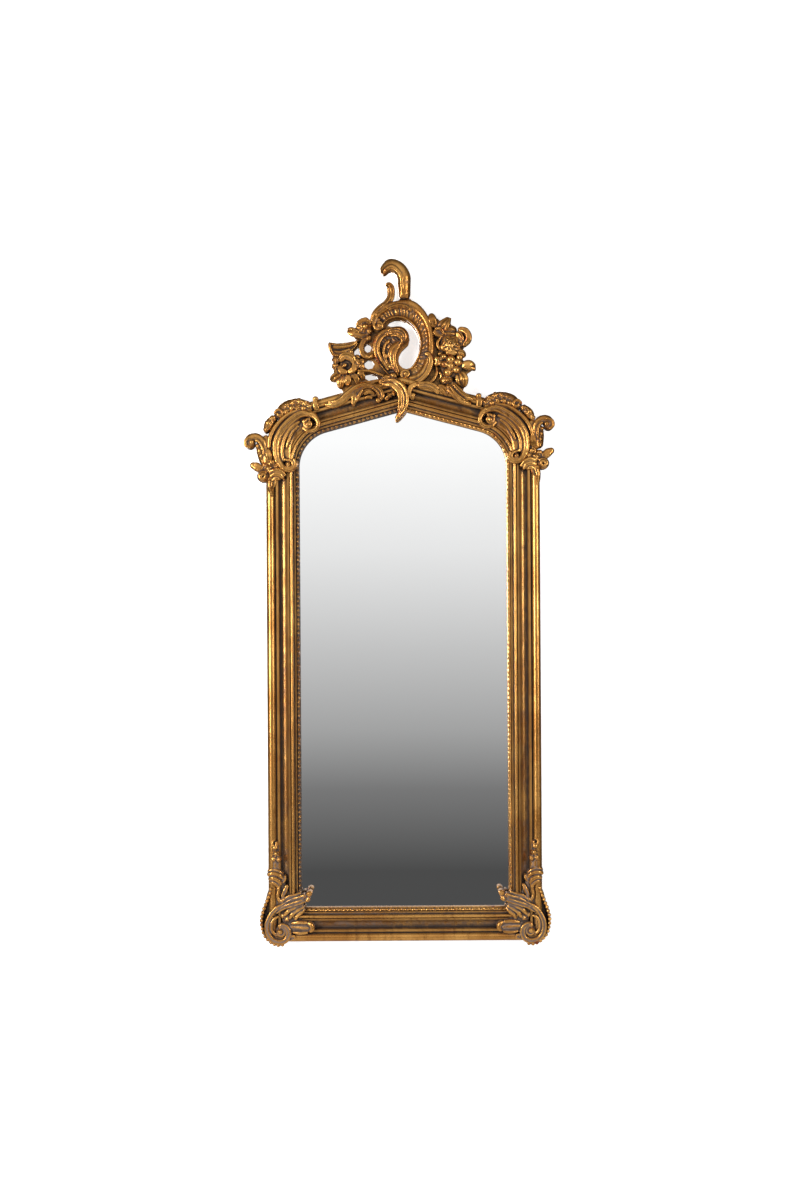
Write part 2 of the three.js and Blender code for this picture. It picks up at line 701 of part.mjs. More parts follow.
const rightScrollLeaf = carving([
  ["stroke", {
    path: alongCrown([[38, -20], [22, -29], [17, -44], [28, -54]]),
    half: [6, 6, 6, 6],
    front: [10, 12, 12, 12],
    back: CROWN_BACK,
  }],
  ["stroke", {
    path: alongCrown([[36, -25], [58, -24], [78, -30], [92, -46]]),
    half: [7, 9, 9, 5],
    front: [8, 9, 9, 4],
    back: CROWN_BACK,
  }],
  ["stroke", {
    path: alongCrown([[86, -26], [101, -34], [112, -51]]),
    half: [7, 9, 5],
    front: [9, 11, 4],
    back: CROWN_BACK,
  }],
  ["stroke", {
    path: alongCrown([[108, -24], [125, -42], [146, -62], [172, -74]]),
    half: [8, 9, 8, 4],
    front: [10, 12, 11, 5],
    back: CROWN_BACK,
  }],
  ["stroke", {
    path: alongCrown([[126, -24], [141, -40], [160, -54], [178, -61]]),
    half: [8, 9, 7, 4],
    front: [9, 10, 8, 3],
    back: CROWN_BACK,
  }],
], onCrown);

const leftShellBud = carving([
  ["boss", { at: [-96, 125], size: [20, 17], angle: 20, front: 27, sides: 8 }],
  ["stroke", {
    path: [[-138, 116], [-120, 111], [-100, 104], [-82, 106]],
    half: [8, 11, 10, 7],
    front: [15, 20, 20, 18],
  }],
  ["stroke", {
    path: [[-82, 100], [-97, 88], [-102, 70], [-97, 54], [-80, 47]],
    half: [6, 6, 6, 6, 5],
    front: [20, 21, 21, 20, 17],
  }],
], onBoard);

const leftTrumpet = carving([
  ["band", {
    outer: [[-184, 86], [-160, 84], [-132, 87], [-106, 92]],
    inner: [[-176, 53], [-156, 50], [-132, 60], [-110, 83]],
    front: [25, 20, 18, 15],
    hollow: 5,
  }],
  ["stroke", { path: [[-181, 86], [-180, 70], [-173, 54]], half: [5, 4, 4], front: [26, 28, 24] }],
], onBoard);

const leftFlower = carving([
  ["boss", { at: [-142, 28], size: [17, 16], front: 18 }],
  ["stroke", {
    path: [[-158, 38], [-144, 51], [-127, 46], [-119, 32]],
    half: [7, 10, 10, 6],
    front: [24, 30, 30, 24],
  }],
  ["stroke", { path: [[-119, 34], [-122, 18], [-136, 10]], half: [6, 8, 6], front: [22, 25, 22] }],
  ["stroke", { path: [[-136, 10], [-152, 14], [-158, 28]], half: [6, 8, 6], front: [24, 26, 23] }],
  ["boss", { at: [-166, 34], size: [17, 11], angle: 90, front: 19 }],
  ["stroke", { path: [[-146, 10], [-164, 1], [-181, -8]], half: [9, 12, 8], front: [19, 21, 16] }],
  ["stroke", {
    path: [[-148, 6], [-154, -12], [-156, -30]],
    half: [8, 11, 7],
    front: [18, 20, 14],
  }],
  ["stroke", { path: [[-136, 8], [-135, -8], [-138, -24]], half: [7, 8, 6], front: [17, 18, 13] }],
  ["boss", { at: [-107, 32], size: [14, 13], angle: 20, front: 22, sides: 8 }],
  ["stroke", { path: [[-120, 16], [-104, 8], [-97, -8]], half: [8, 8, 5], front: [18, 18, 13] }],
  ["stroke", {
    path: [[-112, 14], [-84, 14], [-54, 4], [-30, -8]],
    half: [5, 4, 4, 5],
    front: [18, 19, 21, 22],
  }],
], onBoard);

const rightRose = carving([
  ["boss", { at: [119, 78], size: [25, 24], front: 22, sides: 8 }],
  ["flower", { at: [120, 77], reach: 15, petal: [12, 12], count: 5, front: 39, angle: 54 }],
  ["boss", { at: [150, 97], size: [18, 24], angle: -20, front: 23, sides: 8 }],
  ["stroke", {
    path: [[140, 118], [160, 111], [167, 93], [153, 74]],
    half: [6, 8, 8, 6],
    front: [24, 30, 30, 24],
  }],
  ["stroke", { path: [[134, 60], [149, 56], [160, 51]], half: [8, 10, 6], front: [24, 25, 19] }],
], onBoard);

const rightBerries = carving([
  ["boss", { at: [124, 24], size: [27, 29], front: 23, sides: 8 }],
  ...[[121, 41, 34], [104, 29, 31], [139, 32, 31], [121, 23, 35], [114, 6, 32], [134, 12, 32]].map(
    ([x, z, front]) => ["boss", { at: [x, z], size: [11, 10], front, sides: 6 }]),
  ["boss", { at: [91, 38], size: [14, 10], angle: 30, front: 24 }],
  ["stroke", { path: [[146, 25], [167, 27], [184, 20]], half: [10, 13, 9], front: [22, 26, 19] }],
  ["stroke", { path: [[141, 10], [151, -8], [155, -28]], half: [12, 15, 9], front: [24, 29, 19] }],
  ["boss", { at: [111, -11], size: [17, 13], front: 26 }],
  ["boss", { at: [129, -22], size: [13, 10], angle: -30, front: 20 }],
], onBoard);

const rightLeaves = carving([
  ["stroke", { path: [[73, 158], [76, 140], [82, 122]], half: [9, 12, 9], front: [20, 26, 22] }],
  ["stroke", { path: [[94, 110], [104, 128], [120, 147]], half: [12, 14, 7], front: [20, 24, 18] }],
  ["stroke", { path: [[104, 112], [122, 117], [138, 113]], half: [9, 12, 7], front: [20, 22, 16] }],
  ["boss", { at: [92, 108], size: [16, 11], angle: -15, front: 23 }],
], onBoard);

// Outline of the crest's board, drawn round the apex of the frame.
const BOARD_OUTLINE = [
  [-140, -52], [-156, -20], [-170, 0], [-172, 30], [-176, 58], [-176, 84], [-140, 82], [-112, 90],
  [-128, 108], [-106, 118], [-104, 134], [-84, 134], [-72, 146], [-60, 166], [-40, 178], [-18, 184],
  [-2, 198], [20, 198], [34, 184], [54, 160], [76, 150], [100, 140], [118, 143], [132, 116],
  [162, 108], [164, 84], [150, 66], [156, 36], [178, 30], [176, 18], [162, 6], [158, -20],
  [140, -50], [0, -30],
];
const BOARD_EYE = [
  [-38, 130], [-24, 142], [-3, 143], [19, 132], [34, 114], [43, 90], [42, 62], [32, 36], [20, 22],
  [4, 22], [-8, 34], [-8, 52], [2, 69], [15, 80], [19, 100], [9, 116], [-14, 124],
];
const BOARD_PIERCINGS = [
  { at: [-86, 73], size: [9, 11] },
  { at: [-113, 60], size: [9, 15], angle: -10 },
  { at: [-83, 32], size: [13, 12] },
  { at: [-78, -1], size: [19, 9], angle: -12 },
];

function crestBoard() {
  const shape = (outline, count) => {
    const points = smooth(outline, true).getPoints(count);
    return points.slice(0, -1).map((p) => [p.x, p.z]);
  };
  const front = inUnits(BOARD_FRONT_HEIGHT);
  const eye = plate(shape(BOARD_EYE, 26), -front, 2 * front);
  const piercings = BOARD_PIERCINGS.map((hole) => boss({ ...hole, front: 4 * front, back: -front }, 0));
  const board = plate(shape(BOARD_OUTLINE, 56), 0, front).subtract(union([eye, ...piercings]));
  return board.scale(CARVING_UNIT).translate([0, 0, FRAME_APEX]);
}

// ---- Corners ---------------------------------------------------------------

const SIDE_BACK = -inUnits(SIDE_DEPTH);
const FACE_BACK = -inUnits(FACE_DEPTH);

const cornerScrollCuts = [
  ["stroke", {
    path: [
      [-82, 98], [-68, 88], [-48, 92], [-41, 108], [-56, 128], [-82, 130], [-106, 116], [-129, 92],
      [-144, 64], [-147, 36], [-141, 12], [-127, -5], [-110, -9], [-98, 4], [-103, 20],
    ],
    half: [4, 5, 6, 7, 8, 9, 10, 10, 11, 11, 10, 8, 6, 5, 5],
    front: [8, 10, 11, 12, 13, 13, 13, 13, 13, 13, 12, 11, 10, 9, 8],
    back: FACE_BACK,
  }],
  ["stroke", {
    path: [[-70, 142], [-118, 128], [-148, 100], [-162, 70], [-164, 36], [-158, 6]],
    half: [7, 10, 10, 9, 9, 8],
    front: [6, 9, 9, 9, 8, 4],
    back: SIDE_BACK,
  }],
  ["stroke", {
    path: [[-86, 110], [-120, 78], [-130, 34]],
    half: [4, 5, 4],
    front: [8, 10, 8],
    back: FACE_BACK,
  }],
  ["boss", { at: [-66, 105], size: [13, 13], front: 14, back: FACE_BACK }],
  ["boss", { at: [-116, 5], size: [11, 11], front: 12, back: FACE_BACK }],
];

const leafPadCuts = [
  ["stroke", {
    path: [[-142, 122], [-125, 146], [-98, 156], [-72, 153], [-54, 140]],
    half: [13, 16, 16, 14, 9],
    front: [6, 10, 11, 9, 6],
    back: SIDE_BACK,
  }],
  ["stroke", {
    path: [[-138, 140], [-156, 122], [-166, 106], [-171, 86]],
    half: [8, 10, 12, 9],
    front: [7, 8, 8, 4],
    back: SIDE_BACK,
  }],
  ["stroke", {
    path: [[-48, 172], [-48, 155], [-42, 138]],
    half: [6, 8, 8],
    front: [6, 10, 7],
    back: SIDE_BACK,
  }],
];

const cornerPlumeCuts = [
  ["stroke", {
    path: [[-213, 47], [-220, 60], [-211, 71], [-196, 73], [-183, 64], [-178, 44], [-172, 6]],
    half: [7, 11, 11, 10, 11, 15, 14],
    front: [8, 13, 14, 11, 9, 8, 4],
    back: SIDE_BACK,
  }],
];

const cornerRoseCuts = [
  ["boss", { at: [-180, -24], size: [16, 15], front: 12, back: SIDE_BACK, sides: 8 }],
  ["boss", { at: [-167, -5], size: [14, 12], front: 9, back: SIDE_BACK }],
  ["stroke", {
    path: [[-168, -18], [-150, -11], [-136, -13], [-122, -26]],
    half: [5, 8, 8, 4],
    front: [9, 12, 11, 6],
    back: FACE_BACK,
  }],
  ["stroke", {
    path: [[-211, 7], [-196, 0], [-180, -10]],
    half: [8, 11, 9],
    front: [5, 8, 8],
    back: SIDE_BACK,
  }],
];

const dropHuskCuts = [
  ["stroke", {
    path: [[-156, -20], [-161, -42], [-162, -58], [-158, -78]],
    half: [9, 7, 6, 4],
    front: [8, 9, 8, 4],
    back: FACE_BACK,
  }],
];

const footScrollCuts = [
  ["stroke", {
    path: [[16, 140], [20, 110], [38, 86], [52, 62], [50, 40], [36, 28]],
    half: [14, 20, 25, 28, 25, 20],
    front: [-2, 0, 2, 3, 3, 2],
    back: FACE_BACK,
  }],
  ["stroke", {
    path: [
      [62, 113], [38, 102], [17, 87], [3, 66], [-4, 45], [-2, 25], [9, 9], [27, 2], [44, 7],
      [53, 22], [49, 38], [36, 44],
    ],
    half: [4, 6, 8, 9, 9, 9, 9, 8, 7, 7, 6, 5],
    front: [7, 9, 10, 11, 12, 12, 12, 11, 10, 10, 9, 8],
    back: SIDE_BACK,
  }],
  ["boss", { at: [31, 27], size: [12, 12], front: 12, back: FACE_BACK }],
  ["stroke", {
    path: [[24, 76], [46, 92], [74, 108], [110, 130]],
    half: [4, 8, 8, 5],
    front: [6, 9, 12, 10],
    back: FACE_BACK,
  }],
  ["stroke", {
    path: [[44, 68], [66, 87], [104, 114]],
    half: [5, 8, 5],
    front: [5, 9, 7],
    back: FACE_BACK,
  }],
  ["stroke", {
    path: [[60, 58], [78, 78], [95, 100]],
    half: [8, 9, 4],
    front: [4, 8, 5],
    back: FACE_BACK,
  }],
  ["stroke", {
    path: [[50, 34], [73, 33], [94, 34], [112, 37]],
    half: [9, 15, 14, 5],
    front: [5, 10, 10, 7],
    back: FACE_BACK,
  }],
];

const beadStringCuts = [
  ["pearls", {
    path: [
      [8, 138], [3, 120], [-3, 105], [-8, 92], [-13, 78], [-17, 60], [-17, 46], [-15, 34],
      [-11, 20], [-2, 8], [10, -2], [25, -7], [40, -5],
    ],
    front: 2,
    back: SIDE_BACK,
  }],
];

const stileHuskCuts = [
  ["stroke", {
    path: [[18, 258], [21, 232], [19, 206], [18, 184], [20, 150]],
    half: [6, 10, 11, 10, 15],
    front: [4, 8, 7, 3, 3],
    back: FACE_BACK,
  }],
  ["boss", { at: [20, 222], size: [11, 11], front: 10, back: FACE_BACK }],
  ["stroke", {
    path: [[-3, 168], [11, 173], [28, 169], [38, 158]],
    half: [6, 6, 6, 4],
    front: [4, 9, 9, 5],
    back: SIDE_BACK,
  }],
  ["stroke", {
    path: [[0, 156], [13, 160], [25, 153], [32, 140]],
    half: [5, 6, 6, 4],
    front: [4, 9, 10, 5],
    back: SIDE_BACK,
  }],
];

const leftShoulder = { x: -SHOULDER_X, z: SHOULDER_Z, level: MOULDING_TOP };
const rightShoulder = {
  x: SHOULDER_X,
  z: SHOULDER_Z,
  level: MOULDING_TOP,
  mirror: true,
  turn: RIGHT_CORNER_TURN,
};
const leftFoot = { x: -FRAME_HALF_WIDTH, z: FRAME_BOTTOM, level: MOULDING_TOP };
const rightFoot = { x: FRAME_HALF_WIDTH, z: FRAME_BOTTOM, level: MOULDING_TOP, mirror: true };

// ---- Assembly --------------------------------------------------------------

const mirror = new THREE.Group();

function place(name, solid, finish) {
  const mesh = new THREE.Mesh(geometryOf(solid), new THREE.MeshStandardMaterial(finish));
  mesh.name = name;
  mirror.add(mesh);
}

function overlap(a, b) {
  const boxA = a.boundingBox();
  const boxB = b.boundingBox();
  return [0, 1, 2].every((k) => boxA.min[k] < boxB.max[k] && boxB.min[k] < boxA.max[k]);
}

// Places carved pieces. Each is fitted over the seat and round those before it.
const carved = [];
function placeCarvings(named, seat) {
  for (const [name, piece] of named) {
    let solid = piece(0);
    for (const other of [seat, ...carved]) {
      if (overlap(solid, other)) solid = solid.subtract(other);
    }
    place(name, mainBody(solid).simplify(SEAM_TOLERANCE), GILT);
    carved.push(piece(CLEAR));
  }
}

// Screws, and what they pass through.
const stileMiddle = SIGHT_WIDTH / 2 + S_LEDGE + LEDGE_WIDTH / 2;
const boardScrewZ = [SIGHT_BOTTOM + BOARD_SCREW_MARGIN, SHOULDER_Z - BOARD_SCREW_MARGIN];
const boardScrews = [-stileMiddle, stileMiddle].flatMap((x) =>
  boardScrewZ.map((z) => [x, z, BOARD_RECESS]));
const hangerScrews = [-HANGER_X, HANGER_X].flatMap((x) =>
  strapScrewDepths.map((depth) => [x, HANGER_Z - depth, STRAP_SEAT]));
const crestPlateSeat = -(CLEAR + CREST_PLATE_THICKNESS);
const crestScrews = [-CREST_SCREW_SPREAD, CREST_SCREW_SPREAD].flatMap((x) => [
  [x, FRAME_APEX - CREST_PLATE_DROP + CREST_SCREW_INSET, crestPlateSeat],
  [x, FRAME_APEX + CREST_PLATE_RISE - CREST_SCREW_INSET, crestPlateSeat],
]);
const holes = (screws) => union(screws.map((place) => screwHole(...place)));

const frame = rails(mouldingSection(), CLEAR / 2);
const stileHoles = holes([...boardScrews, ...hangerScrews]);
const crestHoles = holes(crestScrews);
place("left_stile", frame.left.subtract(stileHoles), GILT);
place("right_stile", frame.right.subtract(stileHoles), GILT);
place("bottom_rail", frame.bottom, GILT);
place("left_top_rail", frame.leftTop.subtract(crestHoles), GILT);
place("right_top_rail", frame.rightTop.subtract(crestHoles), GILT);

const slips = rails(slipSection(), CLEAR / 2);
place("left_slip", slips.left, GILT_SHADE);
place("right_slip", slips.right, GILT_SHADE);
place("bottom_slip", slips.bottom, GILT_SHADE);
place("left_top_slip", slips.leftTop, GILT_SHADE);
place("right_top_slip", slips.rightTop, GILT_SHADE);

place("mirror_plate", plate(sightOutline(GLASS_LAP), LEDGE_HEIGHT, GLASS_FRONT), SILVERED);
const boardOutline = sightOutline(S_BACK - 2 * CLEAR);
const backboard = plate(boardOutline, BOARD_RECESS, BOARD_RECESS + BOARD_THICKNESS);
place("backboard", backboard.subtract(holes(boardScrews)), HARDBOARD);
boardScrews.forEach((at, i) => place(`backboard_screw_${i + 1}`, screw(...at), ZINC));

const seatRails = rails(seatSection(), 0);
const seat = union(Object.values(seatRails));

// Crest.
place("crest_backing", mainBody(crestBoard().subtract(seat).subtract(crestHoles)), GILT_SHADE);
const plateOutline = [-1, 1].flatMap((side) => {
  const x = CREST_PLATE_HALF_WIDTH * side;
  const ends = [[x, FRAME_APEX - CREST_PLATE_DROP], [x, FRAME_APEX + CREST_PLATE_RISE]];
  return side < 0 ? ends : ends.reverse();
});
place("crest_plate", plate(plateOutline, crestPlateSeat, -CLEAR).subtract(crestHoles), ZINC);
crestScrews.forEach((at, i) => place(`crest_screw_${i + 1}`, screw(...at), ZINC));

placeCarvings([
  ["drop_leaf", dropLeaf],
  ["shell_leaf", shellLeaf],
  ["ring_scroll", ringScroll],
  ["tall_plume", tallPlume],
  ["left_scroll_leaf", leftScrollLeaf],
  ["right_scroll_leaf", rightScrollLeaf],
  ["right_rose", rightRose],
  ["right_berries", rightBerries],
  ["right_leaves", rightLeaves],
  ["left_shell_bud", leftShellBud],
  ["left_trumpet", leftTrumpet],
  ["left_flower", leftFlower],
], seat);

// Corners, left and right.
const corners = [
  ["left", leftShoulder, leftShoulder, leftFoot],
  ["right", rightShoulder, { ...rightShoulder, turn: RIGHT_PLUME_TURN }, rightFoot],
];
for (const [side, shoulder, plumeShoulder, foot] of corners) {
  placeCarvings([
    [`${side}_corner_scroll`, carving(cornerScrollCuts, shoulder)],
    [`${side}_corner_plume`, carving(cornerPlumeCuts, plumeShoulder)],
    [`${side}_corner_rose`, carving(cornerRoseCuts, shoulder)],
    [`${side}_leaf_pad`, carving(leafPadCuts, shoulder)],
    [`${side}_drop_husk`, carving(dropHuskCuts, shoulder)],
  ], seat);
  placeCarvings([
    [`${side}_foot_scroll`, carving(footScrollCuts, foot)],
    [`${side}_bead_string`, carving(beadStringCuts, foot)],
    [`${side}_stile_husk`, carving(stileHuskCuts, foot)],
  ], seat);
}

// Hanging hardware and wall pads.
for (const [side, sign] of [["left", -1], ["right", 1]]) {
  const x = sign * HANGER_X;
  place(`${side}_hanger_strap`, hangerStrap(x, HANGER_Z).subtract(holes(hangerScrews)), BRASS);
  place(`${side}_hanger_ring`, hangerRing(x, HANGER_Z), BRASS);
  const profile = [
    [0, -CLEAR],
    [BUMPER_RADIUS, -CLEAR],
    [BUMPER_RADIUS, -BUMPER_THICKNESS + BUMPER_CHAMFER],
    [BUMPER_RADIUS - BUMPER_CHAMFER, -BUMPER_THICKNESS],
    [0, -BUMPER_THICKNESS],
  ];
  place(`${side}_bumper`, turned(profile, x, FRAME_BOTTOM + BUMPER_RISE, 16), RUBBER);
}
hangerScrews.forEach((at, i) => place(`hanger_screw_${i + 1}`, screw(...at), BRASS));

export default mirror;
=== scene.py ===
import json
import math
from functools import partial, reduce

import bmesh
import bpy
import numpy as np
from mathutils import Matrix, Vector


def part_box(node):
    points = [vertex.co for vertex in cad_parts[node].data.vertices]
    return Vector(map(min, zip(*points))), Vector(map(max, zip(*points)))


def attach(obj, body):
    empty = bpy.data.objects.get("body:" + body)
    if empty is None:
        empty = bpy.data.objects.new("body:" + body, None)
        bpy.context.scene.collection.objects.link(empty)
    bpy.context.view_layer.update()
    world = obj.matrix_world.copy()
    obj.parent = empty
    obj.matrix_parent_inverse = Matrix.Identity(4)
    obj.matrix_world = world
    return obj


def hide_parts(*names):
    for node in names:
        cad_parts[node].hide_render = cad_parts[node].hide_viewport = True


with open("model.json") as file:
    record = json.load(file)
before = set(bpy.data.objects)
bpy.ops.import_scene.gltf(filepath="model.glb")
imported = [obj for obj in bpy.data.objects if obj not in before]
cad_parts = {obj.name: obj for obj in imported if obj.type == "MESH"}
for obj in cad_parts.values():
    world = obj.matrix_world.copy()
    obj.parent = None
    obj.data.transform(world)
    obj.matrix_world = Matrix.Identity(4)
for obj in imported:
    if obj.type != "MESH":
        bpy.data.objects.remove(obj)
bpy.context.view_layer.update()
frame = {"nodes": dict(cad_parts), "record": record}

# The drawing is in millimetres, as the part is. Heights h are in front of the
# frame's back face, so y = -h. Marks s run outwards from the sight edge.
MM = 0.001


def box_mm(node):
    low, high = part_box(node)
    return np.array(low) / MM, np.array(high) / MM


# ---- Sizes of the frame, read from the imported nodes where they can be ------

GAP = 0.3
SEAM = GAP / 4
HALF_WIDTH = -box_mm("left_stile")[0][0]
SHOULDER_Z = box_mm("left_stile")[1][2] + GAP / 2
APEX_Z = box_mm("left_top_rail")[1][2]
SIGHT_HALF = -box_mm("left_slip")[1][0]
SIGHT_BOTTOM = box_mm("bottom_slip")[1][2]
MOULDING_WIDTH = HALF_WIDTH - SIGHT_HALF
FRAME_BOTTOM = SIGHT_BOTTOM - MOULDING_WIDTH
CROWN_SLOPE = math.radians(15)
SHOULDER_RADIUS = 91.0
SHOULDER_X = SIGHT_HALF - SHOULDER_RADIUS
SIGHT_APEX = APEX_Z - MOULDING_WIDTH / math.cos(CROWN_SLOPE)

SLIP_WIDTH, FLAT_WIDTH, BEAD_WIDTH, QUIRK_WIDTH = 9.0, 6.5, 8.0, 1.5
LIST_WIDTH, COVE_WIDTH, FILLET_WIDTH, GROOVE_WIDTH, TORUS_WIDTH = 4.5, 22.5, 6.0, 2.5, 22.0
S_BEAD = SLIP_WIDTH + FLAT_WIDTH
S_BEAD_END = S_BEAD + BEAD_WIDTH
S_LIST = S_BEAD_END + QUIRK_WIDTH
S_COVE = S_LIST + LIST_WIDTH
S_FILLET = S_COVE + COVE_WIDTH
S_COVE_END = S_FILLET - 3.0
S_FILLET_END = S_FILLET + FILLET_WIDTH
S_TORUS = S_FILLET_END + GROOVE_WIDTH
S_LEDGE, S_BACK = 14.0, 22.0
LEDGE_HEIGHT, LIP_HEIGHT = 6.0, 10.3
SLIP_EDGE, SLIP_TOP, FLAT_TOP, BEAD_SPRING = 17.0, 26.0, 30.0, 36.0
LIST_TOP, COVE_FLOOR, FILLET_TOP, TORUS_SPRING = 35.0, 22.0, 37.0, 29.0
MOULDING_TOP = TORUS_SPRING + TORUS_WIDTH / 2

# How fine the meshes are: the carving's remesh, and the spacing of its rings.
VOXEL = 1.25
STROKE_STEP = 2.2
BAND_STEP = 0.75 * STROKE_STEP

# ---- Curves ----------------------------------------------------------------


def along(values, t):
    """A list's value at t from 0 to 1, eased from entry to entry."""
    values = np.atleast_1d(np.asarray(values, float))
    if len(values) == 1:
        return np.full_like(t, values[0])
    place = t * (len(values) - 1)
    i = np.minimum(place.astype(int), len(values) - 2)
    f = place - i
    f = f * f * (3 - 2 * f)
    return values[i] * (1 - f) + values[i + 1] * f


def spline(points, t):
    """Centripetal Catmull-Rom through points: places and tangents at t, spread by point."""
    p = np.asarray(points, float)
    p = np.vstack([2 * p[0] - p[1], p, 2 * p[-1] - p[-2]])
    spans = len(p) - 3
    place = np.clip(t, 0, 1) * spans
    i = np.minimum(place.astype(int), spans - 1)
    f = (place - i)[:, None]
    a, b, c, d = p[i], p[i + 1], p[i + 2], p[i + 3]

    def knot(u, v):
        return np.maximum(np.sqrt(np.linalg.norm(v - u, axis=1)), 1e-3)[:, None]

    k1 = knot(a, b)
    k2 = k1 + knot(b, c)
    k3 = k2 + knot(c, d)

    def at(x):
        ab = (k1 - x) / k1 * a + x / k1 * b
        bc = (k2 - x) / (k2 - k1) * b + (x - k1) / (k2 - k1) * c
        cd = (k3 - x) / (k3 - k2) * c + (x - k2) / (k3 - k2) * d
        abc = (k2 - x) / k2 * ab + x / k2 * bc
        bcd = (k3 - x) / (k3 - k1) * bc + (x - k1) / (k3 - k1) * cd
        return (k2 - x) / (k2 - k1) * abc + (x - k1) / (k2 - k1) * bcd

    x = k1 + f * (k2 - k1)
    small = 1e-4 * (k2 - k1)
    way = at(x + small) - at(x - small)
    return at(x), way / np.maximum(np.linalg.norm(way, axis=1), 1e-9)[:, None]


def run_of(places):
    """The length of the way to each place, from the first."""
    steps = np.linalg.norm(np.diff(places, axis=0), axis=1)
    return np.concatenate([[0], np.cumsum(steps)])


def even_marks(path, step, least):
    """Marks from 0 to 1 that lie about a step apart along a path."""
    rough = spline(path, np.linspace(0, 1, 60))[0]
    return np.linspace(0, 1, max(least, int(run_of(rough)[-1] / step)) + 1)


def spiral(eye, start, end, angle, turns, count=14):
    """Points round an eye, from radius start to radius end, beginning at angle."""
    turn = np.linspace(0, 1, count)
    a = math.radians(angle) + turn * turns * 2 * math.pi
    r = start + (end - start) * turn ** 0.8
    return [(eye[0] + q * math.cos(b), eye[1] + q * math.sin(b)) for q, b in zip(r, a)]


# ---- Carving cuts: each gives a closed shell as (points [x, z, h], faces) ----
# Half widths and front heights are lists, spread evenly over a path. back is the
# height that the shell's walls go down to.

DOME_POWER = 2.3
RIB_RISE, RIM_DROP, RIM_RISE, HOLLOW_DROP = 4.5, 1.5, 3.0, 3.5
LOBE_SWEEP = math.radians(50)


def loft(rings):
    """A shell over rings with as many points each, closed at both ends."""
    rings = np.asarray(rings, float)
    bays, count = rings.shape[0] - 1, rings.shape[1]
    j = np.arange(count)
    k = (j + 1) % count
    faces = []
    for i in range(bays):
        a, b = i * count, (i + 1) * count
        faces += np.stack([a + j, a + k, b + k, b + j], 1).tolist()
    faces.append(j[::-1].tolist())
    faces.append((bays * count + j).tolist())
    return rings.reshape(-1, 3), faces


def walled(x, z, h, back):
    """A shell under a surface, with straight walls down to the back."""
    surface = np.stack([x, z, h], 2)
    low = surface[:, [-1, 0]].copy()
    low[:, :, 2] = back
    return loft(np.concatenate([surface, low], 1))


def joined(shells):
    points, faces, count = [], [], 0
    for p, f in shells:
        points.append(p)
        faces += [[i + count for i in face] for face in f]
        count += len(p)
    return np.vstack(points), faces


def dome_of(a, power=DOME_POWER):
    """The height of a dome of 1 at a from its middle, as a superellipse."""
    return (1 - np.abs(a) ** power) ** (1 / power)


def stroke(path, half, front, back=0, ridges=0, depth=1.6, cup=0, lean=0, across=17):
    """A scroll, reed or leaf drawn along a line, with round ends and long flutes."""
    t = even_marks(path, STROKE_STEP, 8)
    centre, way = spline(path, t)
    run = run_of(centre)
    w, top = along(half, t), along(front, t)
    ease = np.ones_like(t)
    for distance, radius in zip((run, run[-1] - run), (w[0], w[-1])):
        near = np.clip(distance / max(radius, 0.1), 0, 1)
        ease *= np.sqrt(np.clip(1 - (1 - near) ** 2, 0.02, 1))
    top = top - (1 - ease) * np.minimum(w * 0.8, (top - back) * 0.5)
    w = w * ease
    a = np.sin(np.linspace(-math.pi / 2, math.pi / 2, across))
    dome = np.minimum(w * 0.9, (top - back) * 0.7)[:, None]
    h = top[:, None] - dome * (1 - dome_of(a)[None, :])
    if ridges:
        groove = 0.5 - 0.5 * np.cos(2 * math.pi * ridges * (a + 1) / 2)
        h -= np.minimum(depth, w * 0.3)[:, None] * groove[None, :] * ease[:, None]
    h -= cup * (1 - a ** 2)[None, :] * ease[:, None]
    h += lean * a[None, :]
    x = centre[:, :1] - way[:, 1:] * a[None, :] * w[:, None]
    z = centre[:, 1:] + way[:, :1] * a[None, :] * w[:, None]
    return walled(x, z, np.maximum(h, back + 0.5), back)


def band(outer, inner, front, hollow, rib=0.24, rim=0.12, slots=0, slot=3.0, across=27):
    """A band between two edges: a rib, a hollow with cross slots, and a rim."""
    t = even_marks(outer, BAND_STEP, 10)
    a, b = spline(outer, t)[0], spline(inner, t)[0]
    top = along(front, t)[:, None]
    u = np.linspace(0, 1, across)
    place = run_of((a + b) / 2)
    place = place / place[-1]
    rib_bump = np.sin(math.pi * np.clip(u / rib, 0, 1))
    rim_bump = np.sin(math.pi * np.clip((u - 1 + rim) / rim, 0, 1))
    mid = (u > rib) & (u < 1 - rim)
    h = top - np.where(u <= rib, RIB_RISE * (1 - rib_bump ** 0.6), 0)[None, :]
    h = h - np.where(u >= 1 - rim, RIM_DROP + RIM_RISE * (1 - rim_bump ** 0.6), 0)[None, :]
    v = np.clip((u - rib) / (1 - rim - rib), 0, 1)
    h = h - np.where(mid, HOLLOW_DROP + hollow * np.sin(math.pi * v) ** 0.5 * 0.6, 0)[None, :]
    if slots:
        uneven = place + 0.3 / slots * np.sin(place * 43)
        wave = np.abs(np.sin(math.pi * slots * uneven))[:, None]
        cut = along(slot, t)[:, None] * np.where(mid, np.sin(math.pi * v) ** 0.4, 0)[None, :]
        h = h - cut * (1 - wave) ** 1.3
    x = a[:, :1] + (b - a)[:, :1] * u[None, :]
    z = a[:, 1:] + (b - a)[:, 1:] * u[None, :]
    return walled(x, z, h, 0)


